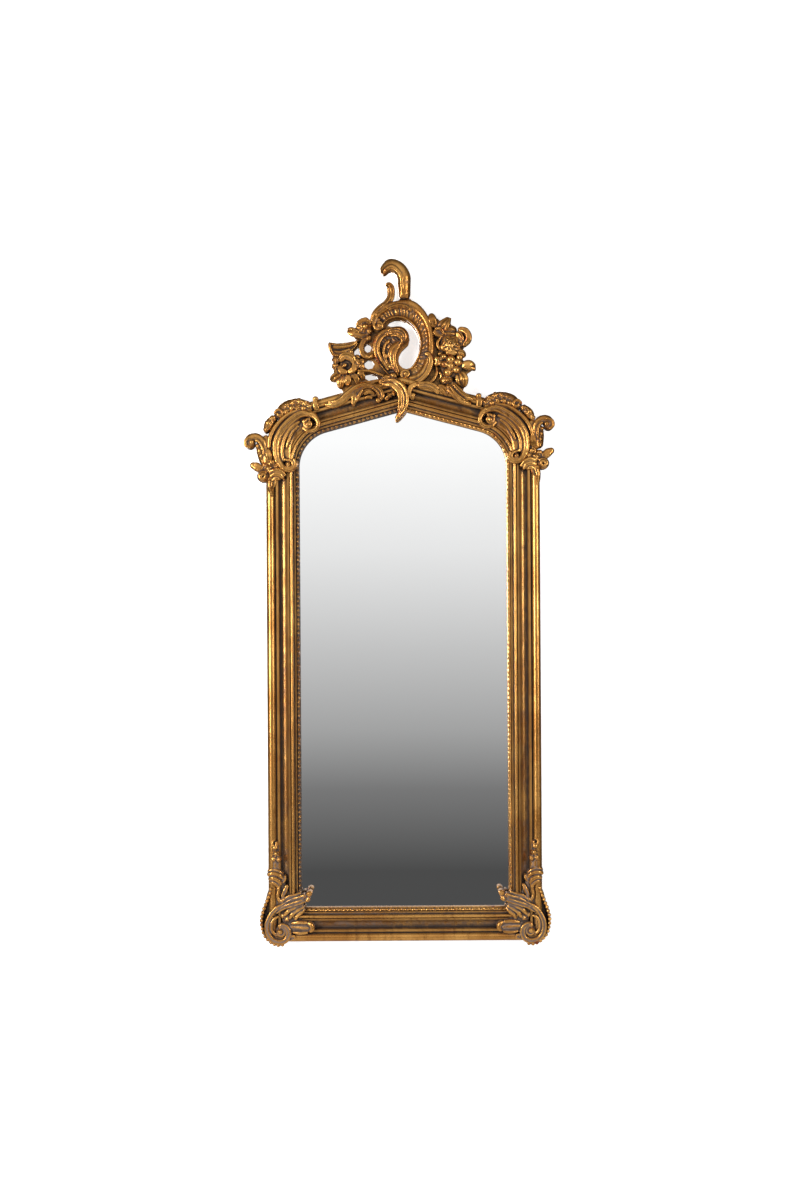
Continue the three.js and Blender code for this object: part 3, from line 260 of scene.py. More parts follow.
def boss(at, size, front, angle=0, back=0, cup=0, veins=0, depth=1.2, swirl=0, notch=0,
         power=DOME_POWER, tilt=0):
    """A petal, berry, eye or rosette: a dome on a straight wall."""
    theta = np.linspace(0, 2 * math.pi, 40, endpoint=False)
    radii = [1, 1, 0.97, 0.9, 0.8, 0.68, 0.54, 0.4, 0.26, 0.12, 0.03]
    turn = math.radians(angle)
    dome = min(size[0], size[1], (front - back) * 0.7)
    rings = []
    for i, r in enumerate(radii):
        h = front - dome * (1 - dome_of(r, power)) - cup * (1 - r ** 2) + tilt * r * np.cos(theta)
        if veins:
            wave = 0.5 - 0.5 * np.cos(veins * theta + swirl * r * math.pi)
            h = h - depth * wave * math.sin(math.pi * min(r, 0.98)) ** 0.5
        if i == 0:
            h = np.full_like(theta, back)
        edge = 1 - notch * (1 - np.abs(np.sin(veins * theta / 2))) ** 1.5
        u = size[0] * r * edge * np.cos(theta)
        v = size[1] * r * edge * np.sin(theta)
        x = at[0] + u * math.cos(turn) - v * math.sin(turn)
        z = at[1] + u * math.sin(turn) + v * math.cos(turn)
        rings.append(np.stack([x, z, np.maximum(h, back)], 1))
    return loft(rings)


def flower(at, reach, petal, count, front, angle=0, cup=2.5, tilt=-3, eye=0.45):
    """Overlapping hollow petals round a seeded eye."""
    cuts = []
    for i in range(count):
        degrees = angle + 360 * i / count
        a = math.radians(degrees)
        place = (at[0] + reach * math.cos(a), at[1] + reach * math.sin(a))
        rise = front * 0.82 + (i % 2) * 1.5
        cuts.append(boss(place, petal, rise, degrees, cup=cup, power=3, tilt=tilt))
        tip = (at[0] + reach * 1.5 * math.cos(a), at[1] + reach * 1.5 * math.sin(a))
        cuts.append(stroke([at, place, tip], [1.2, 1.8, 1.2], [rise - 1, rise + 0.4, rise - 2], across=7))
    cuts.append(boss(at, (reach * eye, reach * eye), front, veins=6, depth=1.6))
    return joined(cuts)


def acanthus(path, half, front, back=0, lobes=5, reach=12):
    """A leaf with a fluted blade, a raised stem and broad lobes lapped along its edges."""
    blade = [0.8 * w for w in half]
    cuts = [stroke(path, blade, [h - 2 for h in front], back, ridges=3, depth=2.0, across=21),
            stroke(path, [0.2 * w + 0.8 for w in half], [h + 1 for h in front], back, across=9)]
    t = np.linspace(0.08, 0.9, lobes)
    centre, way = spline(path, t)
    for c, w, f in zip(centre, way, along(front, t)):
        for side in (1, -1):
            c_a, s_a = math.cos(LOBE_SWEEP * side), math.sin(LOBE_SWEEP * side)
            out = np.array([w[0] * c_a - w[1] * s_a, w[0] * s_a + w[1] * c_a])
            middle = c + 0.42 * reach * out
            tip = c + 0.72 * reach * out + 0.34 * reach * w
            cuts.append(stroke([tuple(c), tuple(middle), tuple(tip)],
                               [0.26 * reach, 0.44 * reach, 0.34 * reach],
                               [f - 2, f - 0.5, f - 3], back, ridges=1, depth=1.8, across=13))
    return joined(cuts)


def rosettes(spots, back=0):
    """Small overlapping leaf whorls: each spot is (x, z, radius, front)."""
    whorl = partial(boss, back=back, veins=5, notch=0.14, swirl=1.2)
    return joined([whorl((x, z), (r, r * 0.86), h, 40 * i, depth=0.2 * r)
                   for i, (x, z, r, h) in enumerate(spots)])


def ball(at, radius, h, rings=12, sides=20):
    theta = np.linspace(0, 2 * math.pi, sides, endpoint=False)
    phi = np.linspace(0.05, math.pi - 0.05, rings)
    return loft([np.stack([at[0] + radius * math.sin(p) * np.cos(theta),
                           at[1] + radius * math.sin(p) * np.sin(theta),
                           np.full_like(theta, h - radius * math.cos(p))], 1) for p in phi])


def pearls(path, front, radius, pitch, back):
    """A string of round pearls on a narrow strip."""
    places = spline(path, np.linspace(0, 1, 400))[0]
    run = run_of(places)
    count = round(run[-1] / pitch)
    cuts = [stroke(path, radius * 0.4, front - radius * 2.2, back, across=7)]
    for i in range(count):
        mark = (i + 0.5) * run[-1] / count
        at = [np.interp(mark, run, places[:, k]) for k in (0, 1)]
        cuts.append(ball(at, radius, front - radius))
    return joined(cuts)


# ---- Meshes ----------------------------------------------------------------


def new_mesh(name, points, faces):
    """A mesh from points [x, z, h] in millimetres."""
    p = np.asarray(points, float)
    mesh = bpy.data.meshes.new(name)
    mesh.from_pydata((np.stack([p[:, 0], -p[:, 2], p[:, 1]], 1) * MM).tolist(), [], faces)
    mesh.update()
    return mesh


def new_object(name, data):
    thing = bpy.data.objects.new(name, data)
    bpy.context.scene.collection.objects.link(thing)
    return thing


def fix_facing(mesh):
    """Turns a closed mesh inside out if its volume is negative."""
    work = bmesh.new()
    work.from_mesh(mesh)
    if work.calc_volume(signed=True) < 0:
        bmesh.ops.reverse_faces(work, faces=work.faces)
        work.to_mesh(mesh)
    work.free()


def shade(mesh, sharp):
    """Smooth shading, with edges crisp where faces meet at more than sharp degrees."""
    mesh.shade_smooth()
    mesh.set_sharp_from_angle(angle=math.radians(sharp))


def apply_modifiers(thing):
    graph = bpy.context.evaluated_depsgraph_get()
    mesh = bpy.data.meshes.new_from_object(thing.evaluated_get(graph))
    thing.modifiers.clear()
    old = thing.data
    thing.data = mesh
    bpy.data.meshes.remove(old)


def taken(items, key, width, kind=float):
    """A key's values of all vertices or edges, one row for each."""
    values = np.empty(len(items) * width, kind)
    items.foreach_get(key, values)
    return values.reshape(-1, width)


def put(mesh, **layers):
    """Writes values for the materials to read, one for each point."""
    for name, values in layers.items():
        layer = mesh.attributes.new(name, "FLOAT", "POINT")
        layer.data.foreach_set("value", np.asarray(values, np.float32))


def mark_hollows(mesh, near=4, wide=22, near_scale=0.35, wide_scale=2.2):
    """Writes how far each point lies in a hollow, from -1 on an edge to 1 in a groove."""
    n = len(mesh.vertices)
    co, normal = taken(mesh.vertices, "co", 3) / MM, taken(mesh.vertices, "normal", 3)
    a, b = taken(mesh.edges, "vertices", 2, int).T
    share = np.bincount(a, minlength=n) + np.bincount(b, minlength=n)
    p = co.copy()
    for i in range(wide):
        p = np.stack([(np.bincount(a, p[b, k], n) + np.bincount(b, p[a, k], n)) / share
                      for k in range(3)], 1)
        if i == near - 1:
            fine = ((p - co) * normal).sum(1)
    broad = ((p - co) * normal).sum(1)
    put(mesh, fine=np.clip(fine / near_scale, -1, 1), broad=np.clip(broad / wide_scale, -1, 1))


def carve(name, cuts, x, z, level, patina):
    """Fuses cuts into one carved solid, placed at its anchor."""
    points, faces = joined(cuts)
    thing = new_object(name, new_mesh(name, points + np.array([x, z, level]), faces))
    fuse = thing.modifiers.new("fuse", "REMESH")
    fuse.mode = "VOXEL"
    fuse.voxel_size = VOXEL * MM
    ease = thing.modifiers.new("ease", "SMOOTH")
    ease.factor = 0.5
    ease.iterations = 2
    apply_modifiers(thing)
    mesh = thing.data
    mesh.shade_smooth()
    mark_hollows(mesh)
    put(mesh, patina=np.full(len(mesh.vertices), patina))
    return thing


def mirrored_copy(thing, name, turn, pivot):
    """The carving mirrored to the right and turned counterclockwise, seen from the front."""
    mesh = thing.data.copy()
    mesh.name = name
    flip = Matrix.Scale(-1, 4, Vector((1, 0, 0)))
    about = Matrix.Translation(Vector(pivot) * MM)
    mesh.transform(about @ Matrix.Rotation(-turn, 4, "Y") @ about.inverted() @ flip)
    mesh.flip_normals()
    mesh.update()
    return new_object(name, mesh)


# ---- Mouldings -------------------------------------------------------------

# How grey each member's patina is, by where it starts outwards from the sight.
MEMBER_PATINA = [(0, 0.35), (SLIP_WIDTH, 0.62), (S_BEAD, 0.0), (S_BEAD_END, 0.3), (S_COVE, 0.2),
                 (S_COVE + 8, 0.34), (S_FILLET - 1, 0.24), (S_TORUS - 1, 0.05)]
SLIP_PATINA = 0.42

# How dark each member is painted at marks s: mostly painted shade in the quirks, the groove and the cove's
# steep wall by the fillet, partly umber glaze left when the gold was rubbed.
MEMBER_SHADE_AND_UMBER = [
    (0, 0.2), (SLIP_WIDTH, 0.35), (S_BEAD - 1.5, 0.3), (S_BEAD - 0.3, 1.0), (S_BEAD + 1, 0.0),
    (S_BEAD_END - 1, 0.1), (S_BEAD_END, 1.0), (S_LIST, 0.5), (S_LIST + 1.5, 0.05),
    (S_COVE - 1, 0.3), (S_COVE + 2, 0.55), (S_COVE + 7, 0.12), (S_COVE + 12, 0.12),
    (S_COVE_END - 4, 0.8), (S_FILLET - 0.5, 0.9), (S_FILLET + 1, 0.1), (S_FILLET_END - 0.8, 0.3),
    (S_TORUS - 1, 1.0), (S_TORUS + 1.5, 0.5), (S_TORUS + 4, 0.0), (MOULDING_WIDTH - 4, 0.05),
    (MOULDING_WIDTH, 0.5),
]

# The outline's points are at most this far apart. A point's patina, painted shade and painted highlight
# come from the outline within a near and a wide reach of it, over the depth that counts as full.
SECTION_STEP = 2.5
NEAR_REACH, NEAR_DEPTH, WIDE_REACH, WIDE_DEPTH = 1.5, 0.45, 6, 2.6

# Edges are crisp where faces meet at more degrees than this.
MOULDING_SHARP, SLIP_SHARP, HARDWARE_SHARP = 38, 60, 40

# The running leaf on the slip: its pitch, its middle across the slip's width,
# how deep its notches are cut and how far its buds swell.
LEAF_PITCH, LEAF_MIDDLE, LEAF_CUT, LEAF_SWELL = 11.5, 0.42, 2.6, 0.9


def arc(s, h, half_width, rise, start, end, count):
    """Points of an elliptical arc round (s, h), between two angles in degrees."""
    a = np.radians(np.linspace(start, end, count + 1))
    return [(s + half_width * math.cos(q), h + rise * math.sin(q)) for q in a]


def moulding_section():
    """The moulding's closed outline as (s, h), with each arris a little worn."""
    bead, torus = BEAD_WIDTH / 2, TORUS_WIDTH / 2
    cove_top = LIST_TOP - 2
    hollow = S_COVE_END - S_COVE - 1
    return [
        (SLIP_WIDTH, LIP_HEIGHT), (SLIP_WIDTH, FLAT_TOP - 0.6), (SLIP_WIDTH + 0.6, FLAT_TOP),
        (S_BEAD - 1.2, FLAT_TOP), (S_BEAD - 0.3, FLAT_TOP - 0.6),
        *arc(S_BEAD + bead, BEAD_SPRING, bead, bead, 175, 5, 14),
        (S_LIST - QUIRK_WIDTH / 2, LIST_TOP - 2.4), (S_LIST, LIST_TOP - 0.5), (S_LIST + 0.5, LIST_TOP),
        (S_COVE - 1.2, LIST_TOP), (S_COVE - 0.6, LIST_TOP - 0.6), (S_COVE - 0.2, cove_top + 0.4),
        *arc(S_COVE_END, cove_top, hollow, cove_top - COVE_FLOOR, 178, 268, 14),
        (S_COVE_END + 0.4, COVE_FLOOR + 0.2), (S_FILLET - 0.2, FILLET_TOP - 0.8),
        (S_FILLET + 0.5, FILLET_TOP), (S_FILLET_END - 0.7, FILLET_TOP), (S_FILLET_END, FILLET_TOP - 0.7),
        (S_FILLET_END + GROOVE_WIDTH / 2, TORUS_SPRING + 2.4),
        *arc(S_TORUS + torus, TORUS_SPRING, torus, torus, 166, 0, 22),
        (MOULDING_WIDTH, 1.2), (MOULDING_WIDTH - 1.2, 0), (S_BACK, 0), (S_BACK, LEDGE_HEIGHT),
        (S_LEDGE, LEDGE_HEIGHT), (S_LEDGE, LIP_HEIGHT),
    ]


def filled(points, most):
    """The same closed outline with no stretch longer than most."""
    result = []
    for a, b in zip(points, points[1:] + points[:1]):
        count = max(1, math.ceil(math.dist(a, b) / most))
        result += [(a[0] + (b[0] - a[0]) * i / count, a[1] + (b[1] - a[1]) * i / count)
                   for i in range(count)]
    return result


def section_hollows(section, reach):
    """For each point of a closed section, how far its neighbours lie in front of it."""
    p = np.asarray(section)
    ring = np.vstack([p, p[:1]])
    run = run_of(ring)
    way = np.roll(p, -1, 0) - np.roll(p, 1, 0)
    out = np.stack([-way[:, 1], way[:, 0]], 1) / np.maximum(np.linalg.norm(way, axis=1), 1e-6)[:, None]
    result = []
    for i in range(len(p)):
        marks = (run[i] + np.linspace(-reach, reach, 9)) % run[-1]
        mean = np.array([np.interp(marks, run, ring[:, k]).mean() for k in (0, 1)])
        result.append(np.dot(mean - p[i], out[i]))
    return np.array(result)


def rail(name, stations):
    """A length of moulding between stations (x, z, dx, dz)."""
    section = filled(moulding_section(), SECTION_STEP)
    mesh = new_mesh(name, *loft([[(x + dx * s, z + dz * s, h) for s, h in section]
                                 for x, z, dx, dz in stations]))
    shade(mesh, MOULDING_SHARP)
    s = np.array([p[0] for p in section])
    starts, greys = zip(*MEMBER_PATINA)
    marks, levels = zip(*MEMBER_SHADE_AND_UMBER)
    layers = {
        "fine": np.clip(section_hollows(section, NEAR_REACH) / NEAR_DEPTH, -1, 1),
        "broad": np.clip(section_hollows(section, WIDE_REACH) / WIDE_DEPTH, -1, 1),
        "patina": np.array(greys)[np.searchsorted(starts, s, side="right") - 1],
        # Painted shade in the quirks, the groove and the cove's wall, with some umber glaze.
        "umber": np.interp(s, marks, levels),
    }
    put(mesh, **{layer: np.tile(values, len(stations)) for layer, values in layers.items()})
    fix_facing(mesh)
    return new_object(name, mesh)


def slip(name, stations):
    """The sight slip: a narrow moulding with a running leaf carved on it."""
    width = SLIP_WIDTH - GAP
    u = np.linspace(0, 1, 13)
    run = run_of(np.array([(x, z) for x, z, _, _ in stations]))
    base = SLIP_EDGE + (SLIP_TOP - SLIP_EDGE) * np.sin(math.pi / 2 * np.clip(u / 0.7, 0, 1)) ** 0.8
    base = base - 2.5 * np.clip((u - 0.75) / 0.25, 0, 1) ** 2
    rings = []
    for (x, z, dx, dz), mark in zip(stations, run):
        phase = mark / LEAF_PITCH
        leaf = np.abs(np.sin(math.pi * (phase + 0.55 * np.abs(u - LEAF_MIDDLE))))
        bud = 0.5 + 0.5 * math.cos(2 * math.pi * (phase / 2 + 0.1))
        swell = LEAF_SWELL * np.exp(-((u - LEAF_MIDDLE) / 0.24) ** 2)
        cut = LEAF_CUT * (1 - leaf) ** 0.8 * np.exp(-((u - 0.45) / 0.4) ** 2)
        line = [(x + dx * width * q, z + dz * width * q, k) for q, k in zip(u, base - cut + swell * bud)]
        rings.append(line + [(x + dx * width, z + dz * width, LIP_HEIGHT), (x, z, LIP_HEIGHT)])
    mesh = new_mesh(name, *loft(rings))
    shade(mesh, SLIP_SHARP)
    mark_hollows(mesh, near=3, wide=10, near_scale=0.35, wide_scale=1.2)
    put(mesh, patina=np.full(len(mesh.vertices), SLIP_PATINA))
    fix_facing(mesh)
    return new_object(name, mesh)


# Each line gives stations along the sight edge: a place, and the way outwards,
# which is slanted at a mitre so that it reaches the frame's outer edge.


def bottom_line(spacing):
    end = SIGHT_HALF - SEAM
    count = max(2, round(2 * end / spacing))
    middle = [(x, SIGHT_BOTTOM, 0, -1) for x in np.linspace(-end, end, count + 1)[1:-1]]
    return [(-end, SIGHT_BOTTOM, -1, -1), *middle, (end, SIGHT_BOTTOM, 1, -1)]


def stile_line(spacing):
    low, high = SIGHT_BOTTOM + SEAM, SHOULDER_Z - SEAM
    count = max(2, round((high - low) / spacing))
    middle = [(-SIGHT_HALF, z, -1, 0) for z in np.linspace(low, high, count + 1)[1:]]
    return [(-SIGHT_HALF, low, -1, -1), *middle]


def top_line(spacing):
    turn = math.pi / 2 - CROWN_SLOPE
    count = max(14, round(SHOULDER_RADIUS * turn / spacing))
    line = []
    for i in range(count + 1):
        a = math.pi - turn * i / count
        dx, dz = math.cos(a), math.sin(a)
        line.append((SHOULDER_RADIUS * dx - SHOULDER_X, SHOULDER_Z + SHOULDER_RADIUS * dz, dx, dz))
    x, z, dx, dz = line[-1]
    apex = (-SEAM, SIGHT_APEX - SEAM * math.tan(CROWN_SLOPE), 0, 1 / math.cos(CROWN_SLOPE))
    bays = max(2, round(math.dist((x, z), apex[:2]) / spacing))
    line += [(x + (apex[0] - x) * i / bays, z + (apex[1] - z) * i / bays, dx, dz) for i in range(1, bays)]
    return line + [apex]


def flipped_line(line):
    return [(-x, z, -dx, dz) for x, z, dx, dz in line]


# ---- The carvings ----------------------------------------------------------
# Each is a list of cuts, drawn in millimetres from an anchor on the frame: its
# apex for the crest, the middle of the shoulder bend for the upper corners and
# the outer corner for the lower ones. Heights are from the level it is set on.

CREST_LEVEL = -box_mm("crest_backing")[0][1] + GAP
PEARL_RADIUS, PEARL_PITCH, PEARL_FRONT = 4.8, 10.5, 5.0


class Ground:
    """Cuts whose walls all go down to one height."""

    def __init__(self, back):
        self.back = back
        self.stroke = partial(stroke, back=back)
        self.boss = partial(boss, back=back)
        self.rosettes = partial(rosettes, back=back)
        self.acanthus = partial(acanthus, back=back)


# How far the walls go down from the moulding's top: a little under the leaves of
# the crown, close to the back beside the frame, and into the members on its face.
crown, side, face = Ground(-12), Ground(8 - MOULDING_TOP), Ground(24 - MOULDING_TOP)


def ring_scroll():
    outer = [(-77, 128), (-72, 154), (-46, 178), (-8, 189), (28, 188), (55, 166), (72, 134), (79, 96),
             (79, 60), (70, 24), (48, -4), (16, -14)]
    inner = [(-46, 126), (-40, 136), (-24, 144), (-3, 145), (19, 134), (35, 116), (44, 92), (45, 72),
             (39, 50), (30, 33), (21, 22), (11, 19)]
    return [
        band(outer, inner, [18, 22, 24, 24, 24, 24, 22, 18], 8, rib=0.4, rim=0.12, slots=29,
             slot=[3.5, 5, 5, 4, 2.4, 1.8, 1.6, 1.4, 1.2, 0.6, 0.3]),
        boss((-59, 127), (18, 17), 14),
        stroke(spiral((-58, 128), 15, 6, 70, 1.15), [3.5, 4, 4, 3.5], [17, 20, 22, 23]),
        boss((-57, 127), (6.5, 6.5), 26, veins=3, depth=1),
        boss((9, 4), (15, 15), 15),
        stroke(spiral((8, 5), 13, 6, -60, -1.15), [4, 4, 4, 3], [19, 21, 23, 24]),
        boss((9, 5), (6.5, 6.5), 27, veins=3),
        acanthus([(-38, 168), (-16, 176), (6, 176), (26, 166)], [7, 8, 8, 6], [23, 26, 26, 23], lobes=4,
                 reach=9),
        stroke([(-36, 224), (-33, 229), (-28, 222), (-27, 208), (-29, 197), (-39, 183), (-55, 171),
                (-69, 156), (-77, 134)], [7, 9, 10, 10, 9, 8.5, 7.5, 6.5, 5],
               [12, 16, 17, 16, 17, 20, 25, 25, 20], ridges=2, depth=2.6),
        stroke([(20, -17), (42, -12), (60, 4), (70, 26), (72, 44), (65, 54), (56, 54)],
               [5, 6.5, 6.5, 6.5, 6, 5, 4], [20, 25, 27, 28, 29, 30, 28], ridges=1, depth=2.4),
        stroke([(40, -21), (64, -19), (80, -6), (87, 12), (84, 30)], [3.5, 4, 4, 3.5, 2.5],
               [16, 18, 18, 16, 12]),
    ]


def shell_leaf():
    outer = [(-14, 121), (-44, 116), (-66, 100), (-74, 76), (-69, 49), (-52, 21), (-28, -4)]
    inner = [(8, 88), (-2, 78), (-14, 68), (-20, 57), (-22, 38), (-18, 20), (-8, 2)]
    return [
        band(outer, inner, [26, 30, 31, 30, 27, 24, 22], 10, rib=0.17, rim=0.2, slots=13, slot=3.6),
        stroke([(-46, 103), (-22, 111), (-4, 108), (5, 97), (2, 84)], [7, 11, 14, 13, 8],
               [28, 35, 39, 38, 32], ridges=4, depth=3, across=25),
        stroke([(-40, 104), (-55, 88), (-60, 68), (-53, 44), (-34, 14)], [3, 4.5, 4.5, 4, 3],
               [28, 31, 30, 28, 23]),
        stroke([(-30, 92), (-43, 76), (-46, 58), (-38, 34), (-26, 16)], [2.5, 3.5, 4, 3.5, 2.5],
               [27, 29, 29, 25, 21]),
        stroke([(-14, 84), (-26, 72), (-32, 56), (-28, 36)], [2.5, 3, 3.5, 2.5], [26, 27, 27, 23]),
        stroke([(0, 80), (-12, 68), (-19, 52), (-18, 32), (-9, 8)], [3, 4.5, 5, 5, 4],
               [28, 30, 30, 27, 23]),
        stroke([(-30, 100), (-9, 98), (0, 86), (-8, 74)], [2.5, 3, 3, 2], [33, 37, 36, 30]),
        boss((-36, 84), (7, 5), 29, 40, veins=3),
        boss((-40, 50), (6, 5), 27, 70, veins=3),
        boss((-30, 24), (6, 4), 24, 110, veins=3),
    ]


def tall_plume():
    path = [(-46, 253), (-41, 269), (-27, 278), (-8, 271), (5, 252), (6, 232), (7, 212), (7, 194)]
    return [
        stroke(path, [7, 13, 17, 17, 17, 16.5, 15, 18], [18, 25, 28, 28, 27, 25, 23, 22], across=29,
               lean=-2.0),
        stroke([(-47, 254), (-39, 265), (-26, 272), (-12, 264), (-2, 248), (0, 230), (1, 208)],
               [5, 6.5, 6.5, 6, 5.5, 5, 4], [23, 29, 31, 31, 29, 27, 23]),
        stroke([(-6, 197), (5, 205), (18, 197)], [6, 7, 6], [20, 23, 20], ridges=2),
    ]


def drop_leaf():
    path = [(-60, -17), (-32, -14), (-9, -28), (3, -52), (1, -80), (-16, -110)]
    return [
        crown.stroke(path, [8, 14, 16, 14.5, 10, 5], [4, 9, 13, 15, 13, 8], ridges=4, depth=3.4,
                     across=29),
        crown.stroke([(-46, -12), (-20, -13), (2, -28), (12, -52), (9, -80), (-9, -106)],
                     [3, 4, 4, 4, 4, 3], [8, 13, 16, 17, 15, 9]),
        crown.stroke([(-52, -22), (-28, -24), (-10, -40), (-6, -62), (-10, -88)], [3.5, 5, 6, 5, 3],
                     [7, 12, 15, 15, 10], ridges=1, depth=2),
        crown.boss((-40, -4), (10, 7), 10, 10, veins=4),
        crown.boss((-22, 0), (9, 6), 11, -20, veins=4),
    ]


def left_scroll_leaf():
    path = [(-196, -71), (-172, -70), (-150, -58), (-128, -38), (-104, -26), (-80, -24), (-60, -33),
            (-50, -50), (-60, -63)]
    return [
        crown.stroke(path, [5, 10, 12, 12, 9, 7, 6, 6, 5], [3, 8, 10, 12, 12, 12, 12, 11, 9], ridges=2,
                     depth=3, across=23),
        crown.stroke([(-186, -66), (-160, -62), (-138, -44), (-116, -28), (-88, -20)], [3, 4, 4, 4, 3],
                     [7, 11, 14, 14, 12]),
        crown.stroke([(-104, -32), (-117, -50), (-124, -76)], [7, 10, 4.5], [10, 9, 4], ridges=1,
                     depth=3),
        crown.stroke([(-98, -34), (-108, -50), (-114, -64)], [3, 4, 2.5], [13, 13, 6]),
        crown.boss((-61, -62), (6.5, 6.5), 13),
        crown.stroke([(-98, -46), (-82, -40), (-68, -46)], [4, 5, 3], [4, 6, 3], ridges=1),
        crown.stroke([(-96, -56), (-84, -52), (-74, -56)], [3, 4, 3], [0, 2, 0]),
        crown.stroke([(-76, -30), (-62, -42), (-58, -54)], [2.5, 3, 2.5], [14, 14, 11]),
        crown.acanthus([(-44, -60), (-34, -50), (-22, -44)], [6, 7, 5], [3, 6, 5], lobes=3, reach=8),
    ]


def right_scroll_leaf():
    return [
        crown.stroke([(38, -20), (22, -29), (17, -44), (24, -56), (32, -52)], [6, 6, 6, 5, 4],
                     [10, 12, 12, 11, 9], ridges=1, depth=2),
        crown.boss((27, -50), (6, 6), 14),
        crown.stroke([(36, -25), (58, -24), (78, -30), (92, -46)], [7, 9, 9, 5], [8, 9, 9, 4], ridges=2,
                     depth=3),
        crown.stroke([(40, -20), (62, -19), (82, -26), (94, -42)], [2.5, 3, 3, 2.5], [11, 13, 12, 7]),
        crown.stroke([(88, -26), (101, -34), (112, -51)], [6, 9, 5], [10, 11, 4], ridges=1, depth=3),
        crown.stroke([(110, -24), (125, -42), (146, -62), (172, -74)], [8, 9, 8, 4], [10, 12, 11, 5],
                     ridges=2, depth=3),
        crown.stroke([(126, -22), (141, -40), (160, -54), (178, -60)], [7, 9, 7, 4], [9, 9, 8, 3],
                     ridges=2, depth=3),
        crown.stroke([(118, -28), (134, -48), (156, -64)], [3, 3.5, 2.5], [14, 14, 11]),
    ]


def left_shell_bud():
    return [
        boss((-96, 125), (21, 18), 25, 20, veins=9, depth=2.6, swirl=1.4),
        stroke([(-113, 121), (-106, 135), (-90, 141), (-78, 131)], [4, 6, 6, 4], [22, 26, 27, 23],
               ridges=1),
        boss((-92, 124), (8, 7), 29, 20, veins=3),
        stroke([(-138, 116), (-120, 111), (-100, 104), (-82, 106)], [8, 11, 10, 7], [16, 20, 20, 18],
               ridges=2, depth=3, across=21),
        stroke([(-137, 119), (-124, 118), (-106, 110)], [4, 5, 3], [19, 24, 20]),
        stroke([(-82, 98), (-97, 88), (-102, 70), (-97, 54), (-80, 47)], [5.5, 6, 6, 6, 4],
               [20, 21, 21, 20, 16], ridges=1, depth=2.4),
        rosettes([(-84, 96, 8, 23), (-82, 113, 8, 22), (-76, 52, 7, 18)]),
    ]


def left_trumpet():
    outer = [(-184, 86), (-160, 84), (-132, 87), (-106, 92)]
    inner = [(-176, 53), (-156, 50), (-132, 60), (-110, 83)]
    return [
        band(outer, inner, [24, 19, 17, 15], 6, rib=0.2, rim=0.2),
        stroke([(-181, 85), (-180, 70), (-173, 54)], [4.5, 4, 4], [26, 27, 24]),
        stroke([(-176, 74), (-152, 74), (-126, 79), (-112, 87)], [4, 4, 3, 2], [19, 20, 18, 15]),
        stroke([(-174, 63), (-152, 62), (-130, 70)], [4, 3.5, 2.5], [17, 17, 14]),
        stroke([(-130, 66), (-122, 52), (-124, 40)], [3.5, 4, 3], [14, 15, 13]),
    ]


def left_flower():
    return [
        boss((-142, 28), (15, 14), 15, cup=6, power=3),
        stroke([(-158, 38), (-144, 51), (-127, 46), (-119, 32)], [7, 9.5, 9.5, 6], [24, 30, 30, 24],
               ridges=2, depth=2.4),
        stroke([(-119, 34), (-122, 18), (-136, 10)], [6, 8.5, 6], [22, 25, 22], ridges=1, depth=2),
        stroke([(-136, 10), (-152, 14), (-158, 28)], [6, 8, 6], [24, 26, 23], ridges=1, depth=2),
        boss((-144, 28), (6, 5), 25, 30, veins=5),
        rosettes([(-166, 43, 11, 19), (-168, 28, 10, 18), (-165, 14, 9, 16), (-128, 62, 8, 17),
                  (-112, 50, 8, 15)]),
        stroke([(-146, 10), (-164, 1), (-181, -8)], [9, 12, 8], [18, 21, 16], ridges=2, depth=2.6,
               across=21),
        stroke([(-154, 4), (-167, -4), (-177, -11)], [3, 4, 3], [23, 24, 18]),
        stroke([(-148, 6), (-154, -12), (-156, -30)], [8, 11, 7], [18, 20, 14], ridges=2, depth=2.6,
               across=21),
        stroke([(-137, 6), (-135, -8), (-138, -24)], [7, 8, 6], [18, 19, 13], ridges=1, depth=2.4),
        stroke([(-128, 8), (-116, -2), (-112, -18)], [6, 8, 6], [15, 14, 11], ridges=1, depth=2),
        flower((-107, 32), 8, (8.5, 7), 4, 24, angle=45, cup=1.5, tilt=-1),
        stroke([(-112, 12), (-101, 6), (-97, -8)], [6, 7, 5], [18, 18, 14], ridges=1),
        stroke([(-112, 14), (-84, 14), (-54, 4), (-30, -8)], [3.5, 3.5, 3.5, 4], [18, 19, 21, 22]),
        stroke([(-96, -14), (-76, -13), (-56, -8)], [4, 5, 4], [10, 12, 12], ridges=1),
    ]


def right_rose():
    return [
        boss((120, 78), (25, 24), 20),
        flower((121, 77), 14, (13, 12), 5, 36, angle=54, cup=4, tilt=-4, eye=0.3),
        flower((121, 79), 7, (7.5, 7), 4, 41, angle=10, cup=2, tilt=-2),
        boss((123, 57), (15, 8), 32, 0, cup=3, power=3),
        boss((104, 72), (10, 8), 27, 90, cup=2, power=3),
        boss((150, 97), (18, 24), 23, -20, cup=8, power=4),
        stroke([(140, 118), (160, 111), (167, 93), (153, 74)], [6, 8, 8, 5], [25, 30, 30, 24], ridges=1,
               depth=2),
        stroke([(135, 110), (146, 98), (149, 80)], [6, 8, 6], [24, 26, 22], ridges=2, depth=2.4),
        stroke([(135, 60), (149, 56), (160, 51)], [8, 10, 6], [24, 25, 19], ridges=2, depth=2),
        stroke([(97, 95), (89, 85), (92, 72), (100, 66)], [3.5, 4.5, 4.5, 3], [14, 16, 16, 14]),
        rosettes([(96, 57, 8, 14), (100, 98, 8, 18), (140, 72, 8, 27)]),
    ]


